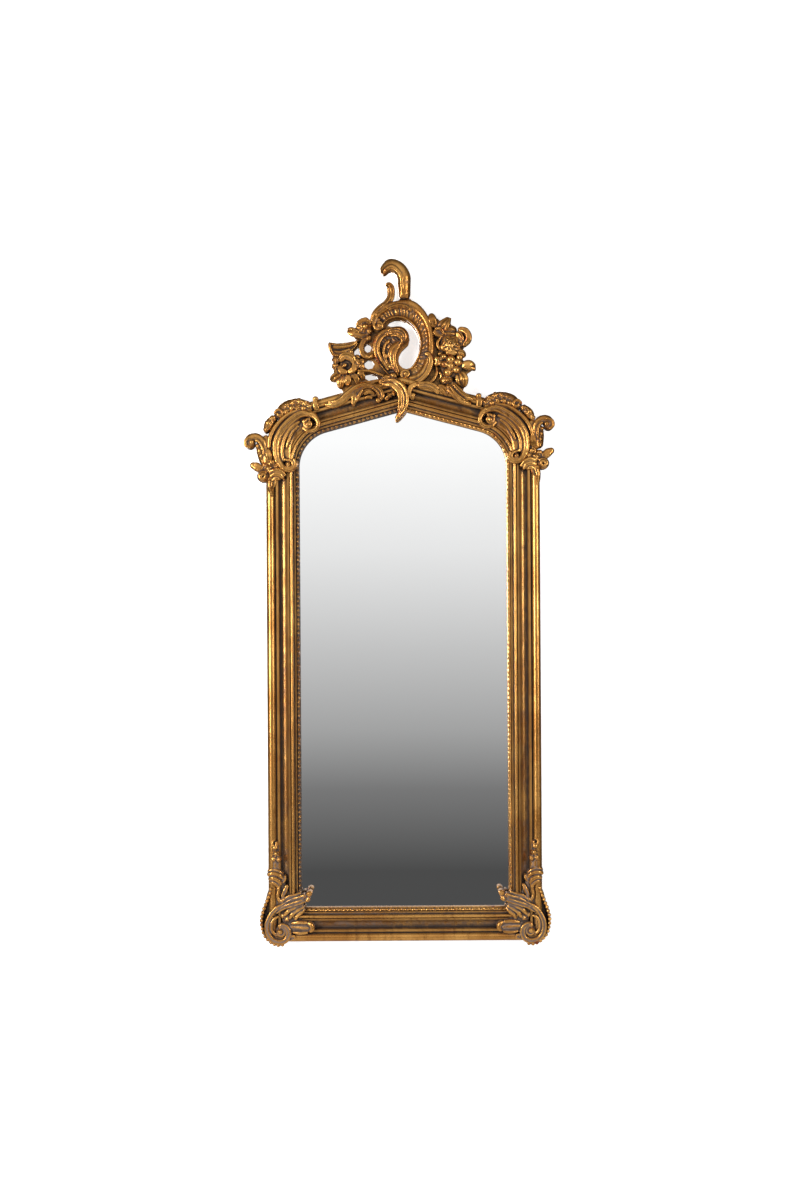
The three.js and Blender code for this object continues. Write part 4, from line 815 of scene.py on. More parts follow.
def right_berries():
    berries = [(121, 40, 11.5, 34), (105, 28, 10, 32), (139, 33, 10.5, 31), (121, 24, 10, 34),
               (135, 14, 10, 33), (114, 8, 12, 32), (144, 46, 9, 28), (104, 48, 8, 26)]
    return [
        boss((124, 24), (28, 30), 22),
        *[boss((x, z), (r, r * 0.88), h, power=2) for x, z, r, h in berries],
        flower((91, 37), 7, (8, 6.5), 4, 26, angle=45, cup=1, tilt=-1),
        stroke([(146, 25), (167, 27), (184, 20)], [10, 13, 9], [22, 26, 19], cup=2),
        stroke([(154, 20), (169, 20), (185, 16)], [3, 4, 3], [24, 25, 20]),
        stroke([(141, 10), (151, -8), (155, -28)], [12, 15, 9], [24, 29, 19], cup=2, ridges=2, depth=3.0,
               across=23),
        stroke([(136, 2), (138, -12), (146, -26)], [4, 5, 3], [27, 28, 20]),
        boss((111, -11), (17, 13), 26, 10, veins=9, depth=2.4, notch=0.1),
        boss((112, -12), (6, 5), 29),
        boss((128, -22), (13, 10), 20, -30, veins=5, depth=2, notch=0.1),
        stroke([(92, 12), (98, 2), (94, -10)], [3, 4, 3], [12, 14, 11]),
    ]


def right_leaves():
    return [
        stroke([(73, 158), (76, 140), (82, 122)], [8.5, 12, 9], [20, 26, 23], ridges=1, depth=3),
        stroke([(84, 146), (89, 134), (92, 122)], [4, 7, 6], [15, 18, 16], ridges=1),
        stroke([(94, 110), (104, 128), (120, 147)], [12, 14, 7], [20, 24, 18], ridges=2, depth=3,
               across=23),
        stroke([(108, 112), (115, 128), (122, 146)], [5, 6, 3], [23, 25, 19]),
        stroke([(104, 112), (122, 117), (138, 114)], [9, 11, 7], [19, 21, 15], ridges=2),
        boss((92, 108), (15, 10), 22, -15, cup=5, power=4),
        stroke([(81, 118), (96, 118), (105, 104)], [3.5, 4.5, 3], [22, 25, 22]),
        stroke([(102, 106), (120, 106), (136, 104)], [7, 9, 6], [19, 21, 17], ridges=2, depth=2),
    ]


def corner_scroll():
    rib = [(-82, 98), (-68, 88), (-48, 92), (-41, 108), (-56, 128), (-82, 130), (-106, 116), (-129, 92),
           (-144, 64), (-147, 36), (-141, 12), (-127, -5), (-110, -9), (-98, 4), (-103, 20)]
    return [
        face.stroke([(-64, 112), (-94, 100), (-116, 74), (-124, 42), (-119, 8)], [15, 21, 19, 17, 14],
                    [1, 2, 2, 1, 0]),
        side.stroke([(-64, 138), (-100, 128), (-136, 102), (-156, 70), (-158, 34), (-152, 4)],
                    [10, 13, 14, 14, 14, 12], [2, 3, 3, 2, 1, 0]),
        face.stroke(rib, [3.5, 4, 5, 6, 8, 9, 9.5, 9.5, 9.5, 9.5, 9, 7, 5.5, 4.5, 3.5],
                    [8, 10, 11, 12, 12, 12, 12, 12, 12, 12, 11, 10, 9, 9, 7]),
        face.stroke([(-60, 130), (-84, 134), (-110, 119), (-134, 94), (-149, 64), (-151, 36), (-145, 8)],
                    [2.5, 3.5, 4, 4, 4, 4, 3], [14, 15, 15, 15, 15, 14, 12]),
        face.stroke([(-86, 112), (-104, 100), (-122, 76), (-131, 50), (-131, 26), (-126, 12)],
                    [3, 4, 4.5, 4.5, 4, 3], [9, 10, 10, 10, 9, 8]),
        face.stroke([(-90, 102), (-106, 84), (-116, 62), (-121, 44)], [3, 4, 4, 3], [7, 8, 8, 6]),
        side.stroke([(-84, 142), (-118, 128), (-146, 101), (-161, 74), (-165, 44)],
                    [4, 5.5, 5.5, 5.5, 4.5], [7, 9, 9, 9, 7]),
        face.boss((-66, 105), (15, 15), 2),
        face.stroke(spiral((-66, 105), 13, 5, 60, 1.1), [3.5, 4, 4, 3.5], [8, 10, 12, 13]),
        face.boss((-67, 104), (6.5, 6.5), 14),
        face.boss((-76, 112), (7, 5), 11, 30, veins=3),
        face.boss((-116, 5), (11, 11), 2),
        face.stroke([(-128, 18), (-120, 16), (-110, 14), (-105, 4), (-112, -4), (-122, -2)],
                    [2.5, 3, 3, 3, 3, 2.5], [6, 7, 8, 8, 9, 9]),
        face.boss((-117, 5), (6, 5.5), 12, -20, veins=2),
    ]


def leaf_pad():
    pad = [(-140, 126), (-124, 145), (-98, 154), (-74, 151), (-56, 140)]
    return [
        side.stroke(pad, [14, 17, 17, 15, 9], [3, 5, 6, 5, 3], across=21),
        side.rosettes([(-130, 144, 10, 6), (-118, 153, 10, 8), (-104, 159, 10.5, 8), (-89, 161, 11, 9),
                       (-75, 157, 10, 8), (-64, 149, 8, 6)]),
        side.rosettes([(-122, 137, 9, 9), (-108, 145, 9, 10), (-93, 147, 9.5, 11), (-78, 144, 9, 10),
                       (-64, 138, 8, 8)]),
        side.boss((-138, 132), (14, 13), 5, 20),
        side.stroke(spiral((-138, 132), 12, 4, 200, -1.1), [3.5, 4, 4, 3], [7, 9, 10, 10]),
        side.stroke([(-152, 124), (-165, 106), (-171, 88)], [9, 12, 9], [3, 5, 2], across=19),
        side.rosettes([(-155, 120, 10, 7), (-166, 108, 11, 8), (-172, 93, 9, 6)]),
        side.stroke([(-48, 170), (-48, 155), (-43, 138)], [5, 8, 7], [5, 9, 7], ridges=1, depth=2),
        side.boss((-48, 168), (7.5, 6.5), 9, 0),
    ]


def corner_plume():
    path = [(-212, 49), (-217.6, 58), (-212, 70), (-198, 74), (-184, 66), (-177, 48), (-173, 26),
            (-171, 4)]
    return [
        side.stroke(path, [8, 9.2, 10.5, 10, 9.5, 9.5, 9, 8], [6, 10, 11, 10, 8, 6, 4, 3], across=21),
        side.boss((-213.5, 59), (12.8, 15), 10),
        side.stroke([(-210, 46), (-221.5, 52), (-222, 65), (-208, 75)], [3, 4, 4, 3], [11, 13, 13, 12]),
        side.boss((-207, 60), (6.5, 6.5), 14),
        side.stroke([(-199, 66), (-190, 62), (-182, 48), (-178, 28)], [3, 3.5, 3.5, 3], [11, 11, 10, 7]),
        side.stroke([(-190, 58), (-186, 34), (-178, 6)], [9, 10, 9], [-1, 0, -1], across=19),
        side.rosettes([(-192, 52, 8, 3), (-188, 40, 8, 4), (-184, 27, 8, 4), (-180, 14, 8, 3)]),
        side.stroke([(-168, 44), (-165, 28), (-162, 12)], [7, 9, 7], [8, 10, 7], ridges=1, depth=2.4),
        side.stroke([(-176, 78), (-168, 62), (-164, 46)], [7, 8, 5], [3, 5, 4], ridges=1),
    ]


def corner_rose():
    return [
        side.boss((-180, -24), (16, 15), 8, cup=2),
        side.stroke(spiral((-180, -24), 12, 3, 30, 1.6, 20), [3, 3.5, 3.5, 3], [8, 10, 12, 13]),
        side.stroke([(-178, 8), (-168, -6), (-156, -18)], [9, 12, 9], [3, 5, 3]),
        side.rosettes([(-165, -6, 11, 9), (-176, 4, 8, 6)]),
        face.rosettes([(-157, 11, 8, 9), (-148, 0, 10, 8)]),
        face.stroke([(-166, -16), (-150, -9), (-136, -12), (-122, -24)], [4, 5.5, 5.5, 3.5],
                    [9, 12, 11, 7]),
        face.stroke([(-164, -27), (-150, -19), (-138, -21), (-128, -32)], [4, 5.5, 5.5, 3.5],
                    [8, 11, 10, 5]),
        face.stroke([(-158, -35), (-147, -29), (-136, -32)], [4, 5, 4], [5, 7, 4]),
        side.stroke([(-208, 7), (-196, 0), (-180, -10)], [7.5, 11, 9], [5, 8, 8], ridges=1, depth=2),
        side.boss((-204, 3), (9, 8.5), 6, -30, cup=1),
    ]


def drop_husk():
    return [
        face.stroke([(-160, -26), (-163, -42), (-162, -58), (-158, -77)], [8, 7, 5.5, 3], [8, 8, 7, 3],
                    ridges=1, depth=2.4),
        face.stroke([(-163, -34), (-164, -50), (-160, -66)], [2.5, 3, 2.5], [11, 11, 7]),
        face.stroke([(-152, -28), (-152, -42), (-157, -54)], [5, 5, 3], [3, 3, 0], ridges=1),
        face.boss((-156, -20), (11, 9), 6, 0),
    ]


def foot_scroll():
    rib = [(62, 104), (38, 95), (17, 83), (4, 66), (-3, 46), (-1, 25), (9, 9), (27, 2), (43, 6), (51, 21),
           (48, 36), (36, 44), (24, 40)]
    return [
        side.stroke([(12, 138), (7, 108), (2, 80), (-3, 56), (-1, 32), (9, 12), (28, 4)],
                    [9, 14, 15, 14, 13, 12, 9], [-6, -12, -13, -13, -12, -11, -8], across=23),
        face.stroke([(20, 176), (22, 146), (30, 116), (46, 90), (58, 66), (54, 42), (38, 28)],
                    [15, 20, 23, 26, 27, 24, 20], [-2, -2, -1, 1, 2, 2, 0], cup=3, across=25),
        side.stroke(rib, [3, 4.5, 5.5, 6, 6.5, 6.5, 6.5, 6.5, 7, 7, 6.5, 5, 3.5],
                    [6, 9, 10, 11, 12, 12, 12, 11, 10, 10, 10, 9, 8], ridges=1, depth=2),
        face.stroke([(27, 66), (14, 59), (8, 44), (11, 28), (23, 15)], [3, 4, 4.5, 4, 3],
                    [6, 8, 9, 8, 6]),
        face.boss((31, 27), (15, 15), 3),
        face.stroke(spiral((31, 27), 13, 5, 120, -1.1), [3, 4.5, 4.5, 3], [7, 8, 10, 11]),
        face.boss((30, 28), (6.5, 6), 14, 20, veins=3),
        face.stroke([(26, 84), (42, 97), (60, 106), (80, 112), (95, 119)], [3.5, 5, 6, 6, 5],
                    [6, 8, 9, 11, 12], ridges=1, depth=2),
        face.boss((103, 123), (8, 7), 15, 30, veins=3),
        face.stroke([(18, 74), (36, 87), (57, 95), (79, 102), (95, 107)], [4, 5.5, 6.5, 6.5, 5],
                    [7, 10, 12, 13, 10], ridges=1, depth=2.4),
        face.boss((99, 109), (8, 6.5), 13, 60, veins=2),
        face.boss((36, 105), (11, 7), 7, 40, veins=3),
        face.stroke([(38, 106), (52, 114), (70, 118), (82, 125)], [3, 5, 4.5, 3], [5, 7, 7, 5], ridges=1),
        face.stroke([(38, 66), (50, 79), (66, 89), (88, 97)], [4, 5.5, 6.5, 4.5], [4, 7, 10, 8]),
        face.stroke([(52, 58), (61, 72), (74, 83), (90, 90)], [4, 5.5, 6.5, 4.5], [4, 6, 9, 7]),
        face.stroke([(66, 54), (72, 65), (81, 75), (91, 83)], [4, 5, 6, 4], [3, 5, 7, 5]),
        face.stroke([(44, 37), (62, 39), (86, 38), (108, 37)], [7, 13, 15, 11], [3, 6, 9, 9], ridges=2,
                    depth=2.0, across=27),
        face.stroke([(97, 50), (107, 45), (110, 36), (103, 26)], [4, 6, 6, 4], [9, 12, 12, 9]),
        face.stroke([(56, 48), (78, 51), (98, 50)], [3, 4.5, 4], [6, 9, 10]),
        face.stroke([(60, 26), (80, 24), (100, 26)], [3, 4, 3.5], [6, 9, 9]),
        face.stroke(spiral((61, 13), 8, 3, 180, 1.0), [3, 3, 3, 2.5], [4, 6, 7, 8]),
        face.rosettes([(60, 13, 8, 6), (47, 58, 9, 4), (36, 66, 7, 3)]),
        face.stroke([(30, 150), (26, 132), (24, 114), (30, 100)], [3, 4, 4, 3], [2, 4, 5, 5]),
        face.stroke([(48, 144), (42, 128), (34, 112)], [4, 6, 4], [1, 4, 4], ridges=1, depth=1.6),
    ]


def bead_string():
    path = [(8, 138), (3, 120), (-3, 105), (-8, 92), (-13, 78), (-17, 60), (-17, 46), (-15, 34),
            (-11, 20), (-2, 8), (10, -2), (25, -7), (40, -5)]
    return [
        pearls(path, PEARL_FRONT, PEARL_RADIUS, PEARL_PITCH, side.back),
    ]


def stile_husk():
    return [
        face.stroke([(18, 254), (20, 236), (18, 208), (18, 186), (20, 170)], [7, 9, 10, 12, 14],
                    [1, 2, 2, 2, 3], ridges=2, depth=1.6),
        face.stroke(spiral((18, 247), 9, 3, 90, 1.0), [2.5, 3, 3, 2.5], [4, 6, 7, 7]),
        face.boss((18, 238), (7, 5.5), 9),
        face.rosettes([(20, 222, 11, 8), (14, 209, 8, 7), (27, 208, 8, 6)]),
        face.boss((20, 223), (5, 5), 10),
        side.stroke([(-2, 176), (10, 181), (26, 178), (38, 168)], [4, 4, 4, 3], [0, 3, 4, 1]),
        side.stroke([(-3, 168), (11, 173), (28, 169), (38, 158)], [4.5, 5, 5, 3.5], [4, 8, 9, 5]),
        side.stroke([(0, 158), (13, 161), (26, 155), (33, 142)], [4.5, 5.5, 5.5, 3.5], [4, 9, 10, 5]),
        side.stroke([(2, 148), (12, 150), (22, 144), (27, 132)], [3.5, 4.5, 4.5, 3], [1, 5, 6, 2]),
        face.stroke([(34, 148), (40, 158), (43, 168)], [4, 6, 3], [3, 5, 1], ridges=1),
    ]


# The carvings by what they are set on. Each function is named after its node.
ON_BACKING = [ring_scroll, shell_leaf, tall_plume, left_shell_bud, left_trumpet, left_flower,
              right_rose, right_berries, right_leaves]
ON_CROWN = [drop_leaf, left_scroll_leaf, right_scroll_leaf]
AT_SHOULDERS = [corner_scroll, leaf_pad, corner_plume, corner_rose, drop_husk]
AT_FEET = [foot_scroll, bead_string, stile_husk]
RIGHT_CORNER_TURN, RIGHT_PLUME_TURN = math.radians(9), math.radians(12)

# How grey the patina lies on each group of carvings.
CREST_PATINA, SHOULDER_PATINA, FOOT_PATINA = 0.42, 0.46, 0.74


def carved_pair(drawn, x, z, patina, turn=0):
    """A carving on the left and its mirror image on the right, turned about its anchor."""
    node = drawn.__name__
    left = carve(f"left_{node}_carved", drawn(), -x, z, MOULDING_TOP, patina)
    return {f"left_{node}": left,
            f"right_{node}": mirrored_copy(left, f"right_{node}_carved", turn, (x, 0, z))}


# Every piece that takes the place of a CAD node, by the node's name.
pieces = {}
for level, group in ((CREST_LEVEL, ON_BACKING), (MOULDING_TOP, ON_CROWN)):
    for drawn in group:
        node = drawn.__name__
        pieces[node] = carve(node + "_carved", drawn(), 0, APEX_Z, level, CREST_PATINA)
for drawn in AT_SHOULDERS:
    turn = RIGHT_PLUME_TURN if drawn is corner_plume else RIGHT_CORNER_TURN
    pieces.update(carved_pair(drawn, SHOULDER_X, SHOULDER_Z, SHOULDER_PATINA, turn))
for drawn in AT_FEET:
    pieces.update(carved_pair(drawn, HALF_WIDTH, FRAME_BOTTOM, FOOT_PATINA))

# How far apart a moulding's stations are on straight stretches, round the
# shoulders, and along the slip's leaf.
STRAIGHT_SPACING, BEND_SPACING = 80, 8
SLIP_SPACING = 1.3

pieces["bottom_rail"] = rail("bottom_rail_run", bottom_line(STRAIGHT_SPACING))
pieces["bottom_slip"] = slip("bottom_slip_run", bottom_line(SLIP_SPACING))
for hand, placed in (("left", list), ("right", flipped_line)):
    for node, build, line in (("stile", rail, stile_line(STRAIGHT_SPACING)),
                              ("top_rail", rail, top_line(BEND_SPACING)),
                              ("slip", slip, stile_line(SLIP_SPACING)),
                              ("top_slip", slip, top_line(SLIP_SPACING))):
        pieces[f"{hand}_{node}"] = build(f"{hand}_{node}_run", placed(line))

# ---- Hanging hardware ------------------------------------------------------
# Places are [x, y, z] in millimetres here, with y counted from the back face.
# PIN is the radius that stands for a point on the axis of a turned piece.

WIRE_RADIUS, RING_HALF, RING_REACH, RING_CORNER = 2.0, 15.0, 28.0, 5.0
WIRE_SIDES = 20
STRAP_THICKNESS, STRAP_HALF, STRAP_LENGTH, STRAP_ROLL = 1.5, 9.0, 62.0, math.radians(235)
STRAP_ROWS = (-40, -25, -12, -5)
TONGUE_TIP = 0.15
EYE_RADIUS = WIRE_RADIUS + GAP
EYE_Y = GAP + STRAP_THICKNESS + EYE_RADIUS
SCREW_HEAD, RECESS_DEPTH, RECESS_HALF, RECESS_REACH = 1.8, 0.9, 0.42, 0.62
BUMPER_ROUND = 2.0
PLATE_CORNER = 5
SOFT_EDGE = 0.4
PIN = 0.05
TURNED_SIDES = 48


def solid_of(name, rings, closed=False):
    """A closed surface over rings of points [x, y, z] in mm, each with as many points."""
    count, last = len(rings[0]), len(rings) - 1
    faces = []
    for i in range(last + closed):
        a, b = i * count, (i + 1) % len(rings) * count
        faces += [(a + k, a + (k + 1) % count, b + (k + 1) % count, b + k) for k in range(count)]
    if not closed:
        faces += [tuple(range(count))[::-1], tuple(range(last * count, len(rings) * count))]
    mesh = new_mesh(name, [(x, z, -y) for ring in rings for x, y, z in ring], faces)
    fix_facing(mesh)
    shade(mesh, HARDWARE_SHARP)
    return new_object(name, mesh)


def middle_of(node):
    """A node's middle (x, z), half width, half height, and the y of its front and back."""
    (x0, front, z0), (x1, back, z1) = box_mm(node)
    return (x0 + x1) / 2, (z0 + z1) / 2, (x1 - x0) / 2, (z1 - z0) / 2, front, back


def bow(radius, start, end, count):
    """Pairs (radius cos a, radius sin a) from start to end, in degrees."""
    angles = (math.radians(start + (end - start) * i / count) for i in range(count + 1))
    return [(radius * math.cos(a), radius * math.sin(a)) for a in angles]


def turned(name, x, z, profile, sunk=0, recess=None):
    """A body of revolution about a line from front to back; recess sinks its last rings."""
    rings = []
    for i, (r, y) in enumerate(profile):
        is_sunk = i >= len(profile) - sunk
        rings.append([(x + dx, y - (recess(dx, dz) if is_sunk else 0), z + dz)
                      for dx, dz in bow(r, 0, 360, TURNED_SIDES)[:-1]])
    return solid_of(name, rings)


def screw(node):
    """A domed screw with a cross recess."""
    x, z, radius, _, tip, top = middle_of(node)
    under, shank = top - SCREW_HEAD, radius * 0.44

    def recess(dx, dz):
        arm = np.clip((RECESS_HALF - min(abs(dx), abs(dz))) / 0.2 + 0.5, 0, 1)
        return RECESS_DEPTH * arm * np.clip((RECESS_REACH - math.hypot(dx, dz) / radius) / 0.08, 0, 1)

    body = [(PIN, tip), (shank * 0.6, tip + 1.5), (shank, tip + 3), (shank, under), (radius, under)]
    flank = [(radius * c, under + 0.4 + (SCREW_HEAD - 0.5) * s) for c, s in bow(1, 0, 45, 3)]
    crown_shares = (0.64, 0.6, 0.55, 0.5, 0.42, 0.34, 0.26, 0.2, 0.14, 0.08, 0.02)
    dome = [(radius * f, top - 0.5 * f * f) for f in crown_shares]
    return turned(node + "_head", x, z, body + flank + dome, len(dome), recess)


def bumper(node):
    """A round rubber pad with a soft edge and a shallow dish."""
    x, z, radius, _, front, back = middle_of(node)
    foot = [(PIN, front), (radius - 0.5, front), (radius, front + 0.5)]
    edge = [(radius - BUMPER_ROUND + c, back - BUMPER_ROUND + s) for c, s in bow(BUMPER_ROUND, 0, 90, 6)]
    dish = [(radius * 0.6, back - 0.1), (radius * 0.5, back - 0.5), (radius * 0.25, back - 0.7),
            (PIN, back - 0.7)]
    return turned(node + "_turned", x, z, foot + edge + dish)


def hanger_ring(node, x, top):
    """A closed loop of round wire: a straight bar in the eye and a bow below it."""
    straight = RING_HALF - RING_CORNER
    turns = [(straight, -RING_CORNER, RING_CORNER, 90, 0), (0, RING_HALF - RING_REACH, RING_HALF, 0, -180),
             (-straight, -RING_CORNER, RING_CORNER, 180, 90)]
    rings = []
    for across, down, r, start, end in turns:
        for c, s in bow(1, start, end, max(4, abs(end - start) // 10)):
            rings.append([(x + across + (r + out) * c, EYE_Y + deep, top + down + (r + out) * s)
                          for out, deep in bow(WIRE_RADIUS, 0, 360, WIRE_SIDES)[:-1]])
    return solid_of(node + "_wire", rings, closed=True)


def hanger_strap(node, x, top):
    """A folded strap: a flat tongue with a round end, rolled into an eye at the top."""
    half = STRAP_THICKNESS / 2
    flat, reach = GAP + half, EYE_RADIUS + half
    rows = [(flat, STRAP_HALF - c - STRAP_LENGTH, TONGUE_TIP + (1 - TONGUE_TIP / STRAP_HALF) * s, 0)
            for c, s in bow(STRAP_HALF, 0, 90, 12)]
    rows += [(flat, z, STRAP_HALF, 0) for z in STRAP_ROWS]
    rows += [(EYE_Y - reach * math.cos(a), reach * math.sin(a), STRAP_HALF, a)
             for a in (STRAP_ROLL * i / 24 for i in range(25))]
    rings = []
    for y, z, width, a in rows:
        inset = min(SOFT_EDGE, width * 0.5)
        corners = [(-width, inset - half), (inset - width, -half), (width - inset, -half),
                   (width, inset - half), (width, half - inset), (width - inset, half),
                   (inset - width, half), (-width, half - inset)]
        rings.append([(x + w, y + t * math.cos(a), top + z - t * math.sin(a)) for w, t in corners])
    return solid_of(node + "_folded", rings)


def rounded_plate(node):
    """A flat plate with round corners and soft edges."""
    x, z, wide, tall, front, back = middle_of(node)
    layers = ((front, SOFT_EDGE), (front + SOFT_EDGE, 0), (back - SOFT_EDGE, 0), (back, SOFT_EDGE))
    rings = []
    for y, inset in layers:
        rings.append([(x + right * (wide - PLATE_CORNER) + c, y, z + up * (tall - PLATE_CORNER) + s)
                      for right, up, start in ((1, 1, 0), (-1, 1, 90), (-1, -1, 180), (1, -1, 270))
                      for c, s in bow(PLATE_CORNER - inset, start, start + 90, 6)])
    return solid_of(node + "_pressed", rings)


# The height of the eyes, where the rings turn.
hanger_top = box_mm("left_hanger_strap")[0][2] + STRAP_LENGTH
pieces.update({node: screw(node) for node in frame["nodes"] if "_screw_" in node})
pieces["crest_plate"] = rounded_plate("crest_plate")
for hand in ("left", "right"):
    hanger_x = middle_of(f"{hand}_hanger_strap")[0]
    pieces[f"{hand}_hanger_strap"] = hanger_strap(f"{hand}_hanger_strap", hanger_x, hanger_top)
    pieces[f"{hand}_hanger_ring"] = hanger_ring(f"{hand}_hanger_ring", hanger_x, hanger_top)
    pieces[f"{hand}_bumper"] = bumper(f"{hand}_bumper")

# ---- Materials -------------------------------------------------------------


class Graph:
    """A short way to write the nodes of a material or a world."""

    def __init__(self, owner):
        owner.use_nodes = True
        self.owner, self.tree = owner, owner.node_tree
        self.tree.nodes.clear()
        self.place = self.add("ShaderNodeTexCoord").outputs

    def add(self, kind, **settings):
        node = self.tree.nodes.new(kind)
        for key, value in settings.items():
            setattr(node, key, value)
        return node

    def feed(self, socket, value):
        if isinstance(value, bpy.types.NodeSocket):
            self.tree.links.new(value, socket)
        elif isinstance(value, tuple) and socket.type == "RGBA":
            socket.default_value = (*value, 1)
        else:
            socket.default_value = value

    def made(self, kind, *values, **settings):
        """A node's first output, with its inputs fed in order."""
        node = self.add(kind, **settings)
        for socket, value in zip(node.inputs, values):
            self.feed(socket, value)
        return node.outputs[0]

    def plus(self, *values):
        return reduce(lambda a, b: self.made("ShaderNodeMath", a, b, operation="ADD"), values)

    def minus(self, a, b, clamp=False):
        return self.made("ShaderNodeMath", a, b, operation="SUBTRACT", use_clamp=clamp)

    def times(self, a, b, clamp=False):
        return self.made("ShaderNodeMath", a, b, operation="MULTIPLY", use_clamp=clamp)

    def span(self, value, low, high, out_low=0.0, out_high=1.0, kind="SMOOTHSTEP"):
        return self.made("ShaderNodeMapRange", value, low, high, out_low, out_high, interpolation_type=kind)

    def mix(self, factor, a, b, blend="MIX"):
        node = self.add("ShaderNodeMix", data_type="RGBA", blend_type=blend)
        for index, value in ((0, factor), (6, a), (7, b)):
            self.feed(node.inputs[index], value)
        return node.outputs[2]

    def noise(self, scale, detail=4.0, rough=0.55, stretch=(1, 1, 1)):
        place = self.add("ShaderNodeMapping")
        self.feed(place.inputs["Vector"], self.place["Object"])
        place.inputs["Scale"].default_value = stretch
        node = self.add("ShaderNodeTexNoise")
        for name, value in (("Vector", place.outputs[0]), ("Scale", scale), ("Detail", detail),
                            ("Roughness", rough)):
            self.feed(node.inputs[name], value)
        return node.outputs[0]

    def attribute(self, name):
        return self.add("ShaderNodeAttribute", attribute_name=name).outputs["Fac"]

    def bump(self, height, distance, strength):
        node = self.add("ShaderNodeBump")
        for name, value in (("Strength", strength), ("Distance", distance), ("Height", height)):
            self.feed(node.inputs[name], value)
        return node.outputs[0]

    def end(self, surface, kind="ShaderNodeOutputMaterial"):
        self.tree.links.new(surface, self.add(kind).inputs[0])
        return self.owner

    def principled(self, **values):
        shader = self.add("ShaderNodeBsdfPrincipled")
        for key, value in values.items():
            self.feed(shader.inputs[key.replace("_", " ")], value)
        return self.end(shader.outputs[0])


def new_material(name):
    return Graph(bpy.data.materials.new(name))


GOLD, PALE_GOLD, WORN_GOLD = (0.36, 0.145, 0.028), (0.64, 0.325, 0.085), (0.15, 0.052, 0.010)
TAUPE, DUST = (0.180, 0.108, 0.070), (0.215, 0.140, 0.100)
# The near-black umber is umber glaze in the patina's clouds and painted shade in grooves and recesses.
UMBER_AND_SHADE, BOLE = (0.018, 0.007, 0.002), (0.20, 0.022, 0.010)
RAW_WOOD, DARK_WOOD = (0.30, 0.19, 0.10), (0.13, 0.075, 0.04)
BRASS, DULL_BRASS = (0.72, 0.55, 0.26), (0.48, 0.34, 0.14)
ZINC, DULL_ZINC = (0.62, 0.63, 0.64), (0.45, 0.46, 0.48)
HARDBOARD, DARK_HARDBOARD = (0.17, 0.105, 0.06), (0.10, 0.06, 0.035)
RUBBER, DUSTY_RUBBER = (0.02, 0.02, 0.02), (0.045, 0.043, 0.04)
SILVER, PALE_SILVER = (0.965, 0.972, 0.972), (0.985, 0.99, 0.99)

# How far, in metres, the gilding looks round itself for hollows, which take grey patina and painted shade.
OCCLUSION_REACH = 0.022


def gilt(name, patina_gain, back_height=4.0):
    """Antiqued gold leaf: grey patina in the hollows, bole on rubbed edges, painted shade going to
    near-black umber in grooves and occluded recesses (partly real umber glaze), and a painted highlight of
    pale gold on broad convex forms.
    """
    g = new_material(name)
    place = g.add("ShaderNodeSeparateXYZ")
    g.feed(place.inputs[0], g.place["Object"])
    y, z = place.outputs[1:]
    fine, broad, patina = (g.attribute(layer) for layer in ("fine", "broad", "patina"))
    occlusion = g.add("ShaderNodeAmbientOcclusion", samples=6)
    g.feed(occlusion.inputs["Distance"], OCCLUSION_REACH)
    deep = g.minus(1.0, occlusion.outputs["AO"])
    cloud = g.noise(9.0, 5)
    mottle = g.noise(60.0, 6, 0.65)
    streak = g.noise(26.0, 5, 0.6, (3.0, 3.0, 0.45))
    grain = g.noise(900.0, 2, 0.6)

    tone = g.mix(g.span(cloud, 0.38, 0.66), GOLD, PALE_GOLD)
    tone = g.mix(g.times(g.span(streak, 0.50, 0.70), 0.7), tone, WORN_GOLD)
    # Painted highlight: broad convex forms are lightened towards pale gold.
    tone = g.mix(g.times(g.span(broad, 0.05, -0.7), 0.35), tone, PALE_GOLD)

    grey = g.plus(g.times(patina, patina_gain), g.span(deep, 0.22, 0.75, 0.0, 0.75),
                  g.span(broad, 0.0, 0.7, 0.0, 0.45), g.span(z, 0.35, -0.05, 0.0, 0.28),
                  g.span(mottle, 0.3, 0.7, -0.30, 0.22))
    grey = g.minus(grey, g.span(fine, 0.0, -0.8, 0.0, 0.5))
    grey = g.minus(grey, g.span(broad, -0.02, -0.45, 0.0, 0.38))
    grey = g.span(grey, 0.30, 0.95)
    dust = g.mix(g.span(z, 0.45, 0.05), TAUPE, DUST)
    tone = g.mix(grey, tone, g.mix(g.span(cloud, 0.4, 0.6, 0.0, 0.45), dust, UMBER_AND_SHADE))

    # Painted shade, partly umber glaze: creases, occluded recesses and the members' dark marks go towards
    # near-black umber.
    dark = g.plus(g.span(fine, 0.08, 0.75, 0.0, 0.75), g.span(deep, 0.45, 0.95, 0.0, 0.9),
                  g.times(g.attribute("umber"), 0.85))
    dark = g.times(dark, g.span(mottle, 0.25, 0.55, 0.6, 1.0), clamp=True)
    tone = g.mix(dark, tone, UMBER_AND_SHADE)
    rub = g.times(g.span(fine, -0.3, -0.9), g.span(g.noise(38.0, 3), 0.60, 0.68))
    tone = g.mix(g.times(rub, 0.85), tone, BOLE)

    is_back = g.span(y, -(back_height + 1.0) * MM, -back_height * MM)
    tone = g.mix(is_back, tone, g.mix(g.noise(14.0, 6, 0.6, (6, 6, 0.5)), DARK_WOOD, RAW_WOOD))
    cover = g.made("ShaderNodeMath", grey, dark, operation="MAXIMUM")
    metal = g.times(g.minus(1.0, cover), 0.85, clamp=True)
    metal = g.times(metal, g.minus(1.0, is_back), clamp=True)
    rough = g.plus(g.span(metal, 0.0, 0.85, 0.66, 0.26), g.span(grain, 0.3, 0.7, -0.05, 0.07))
    relief = g.plus(g.times(mottle, 0.7), g.times(grain, 0.18))
    return g.principled(Base_Color=tone, Metallic=metal, Roughness=rough,
                        Normal=g.bump(relief, 0.0011, 0.55))


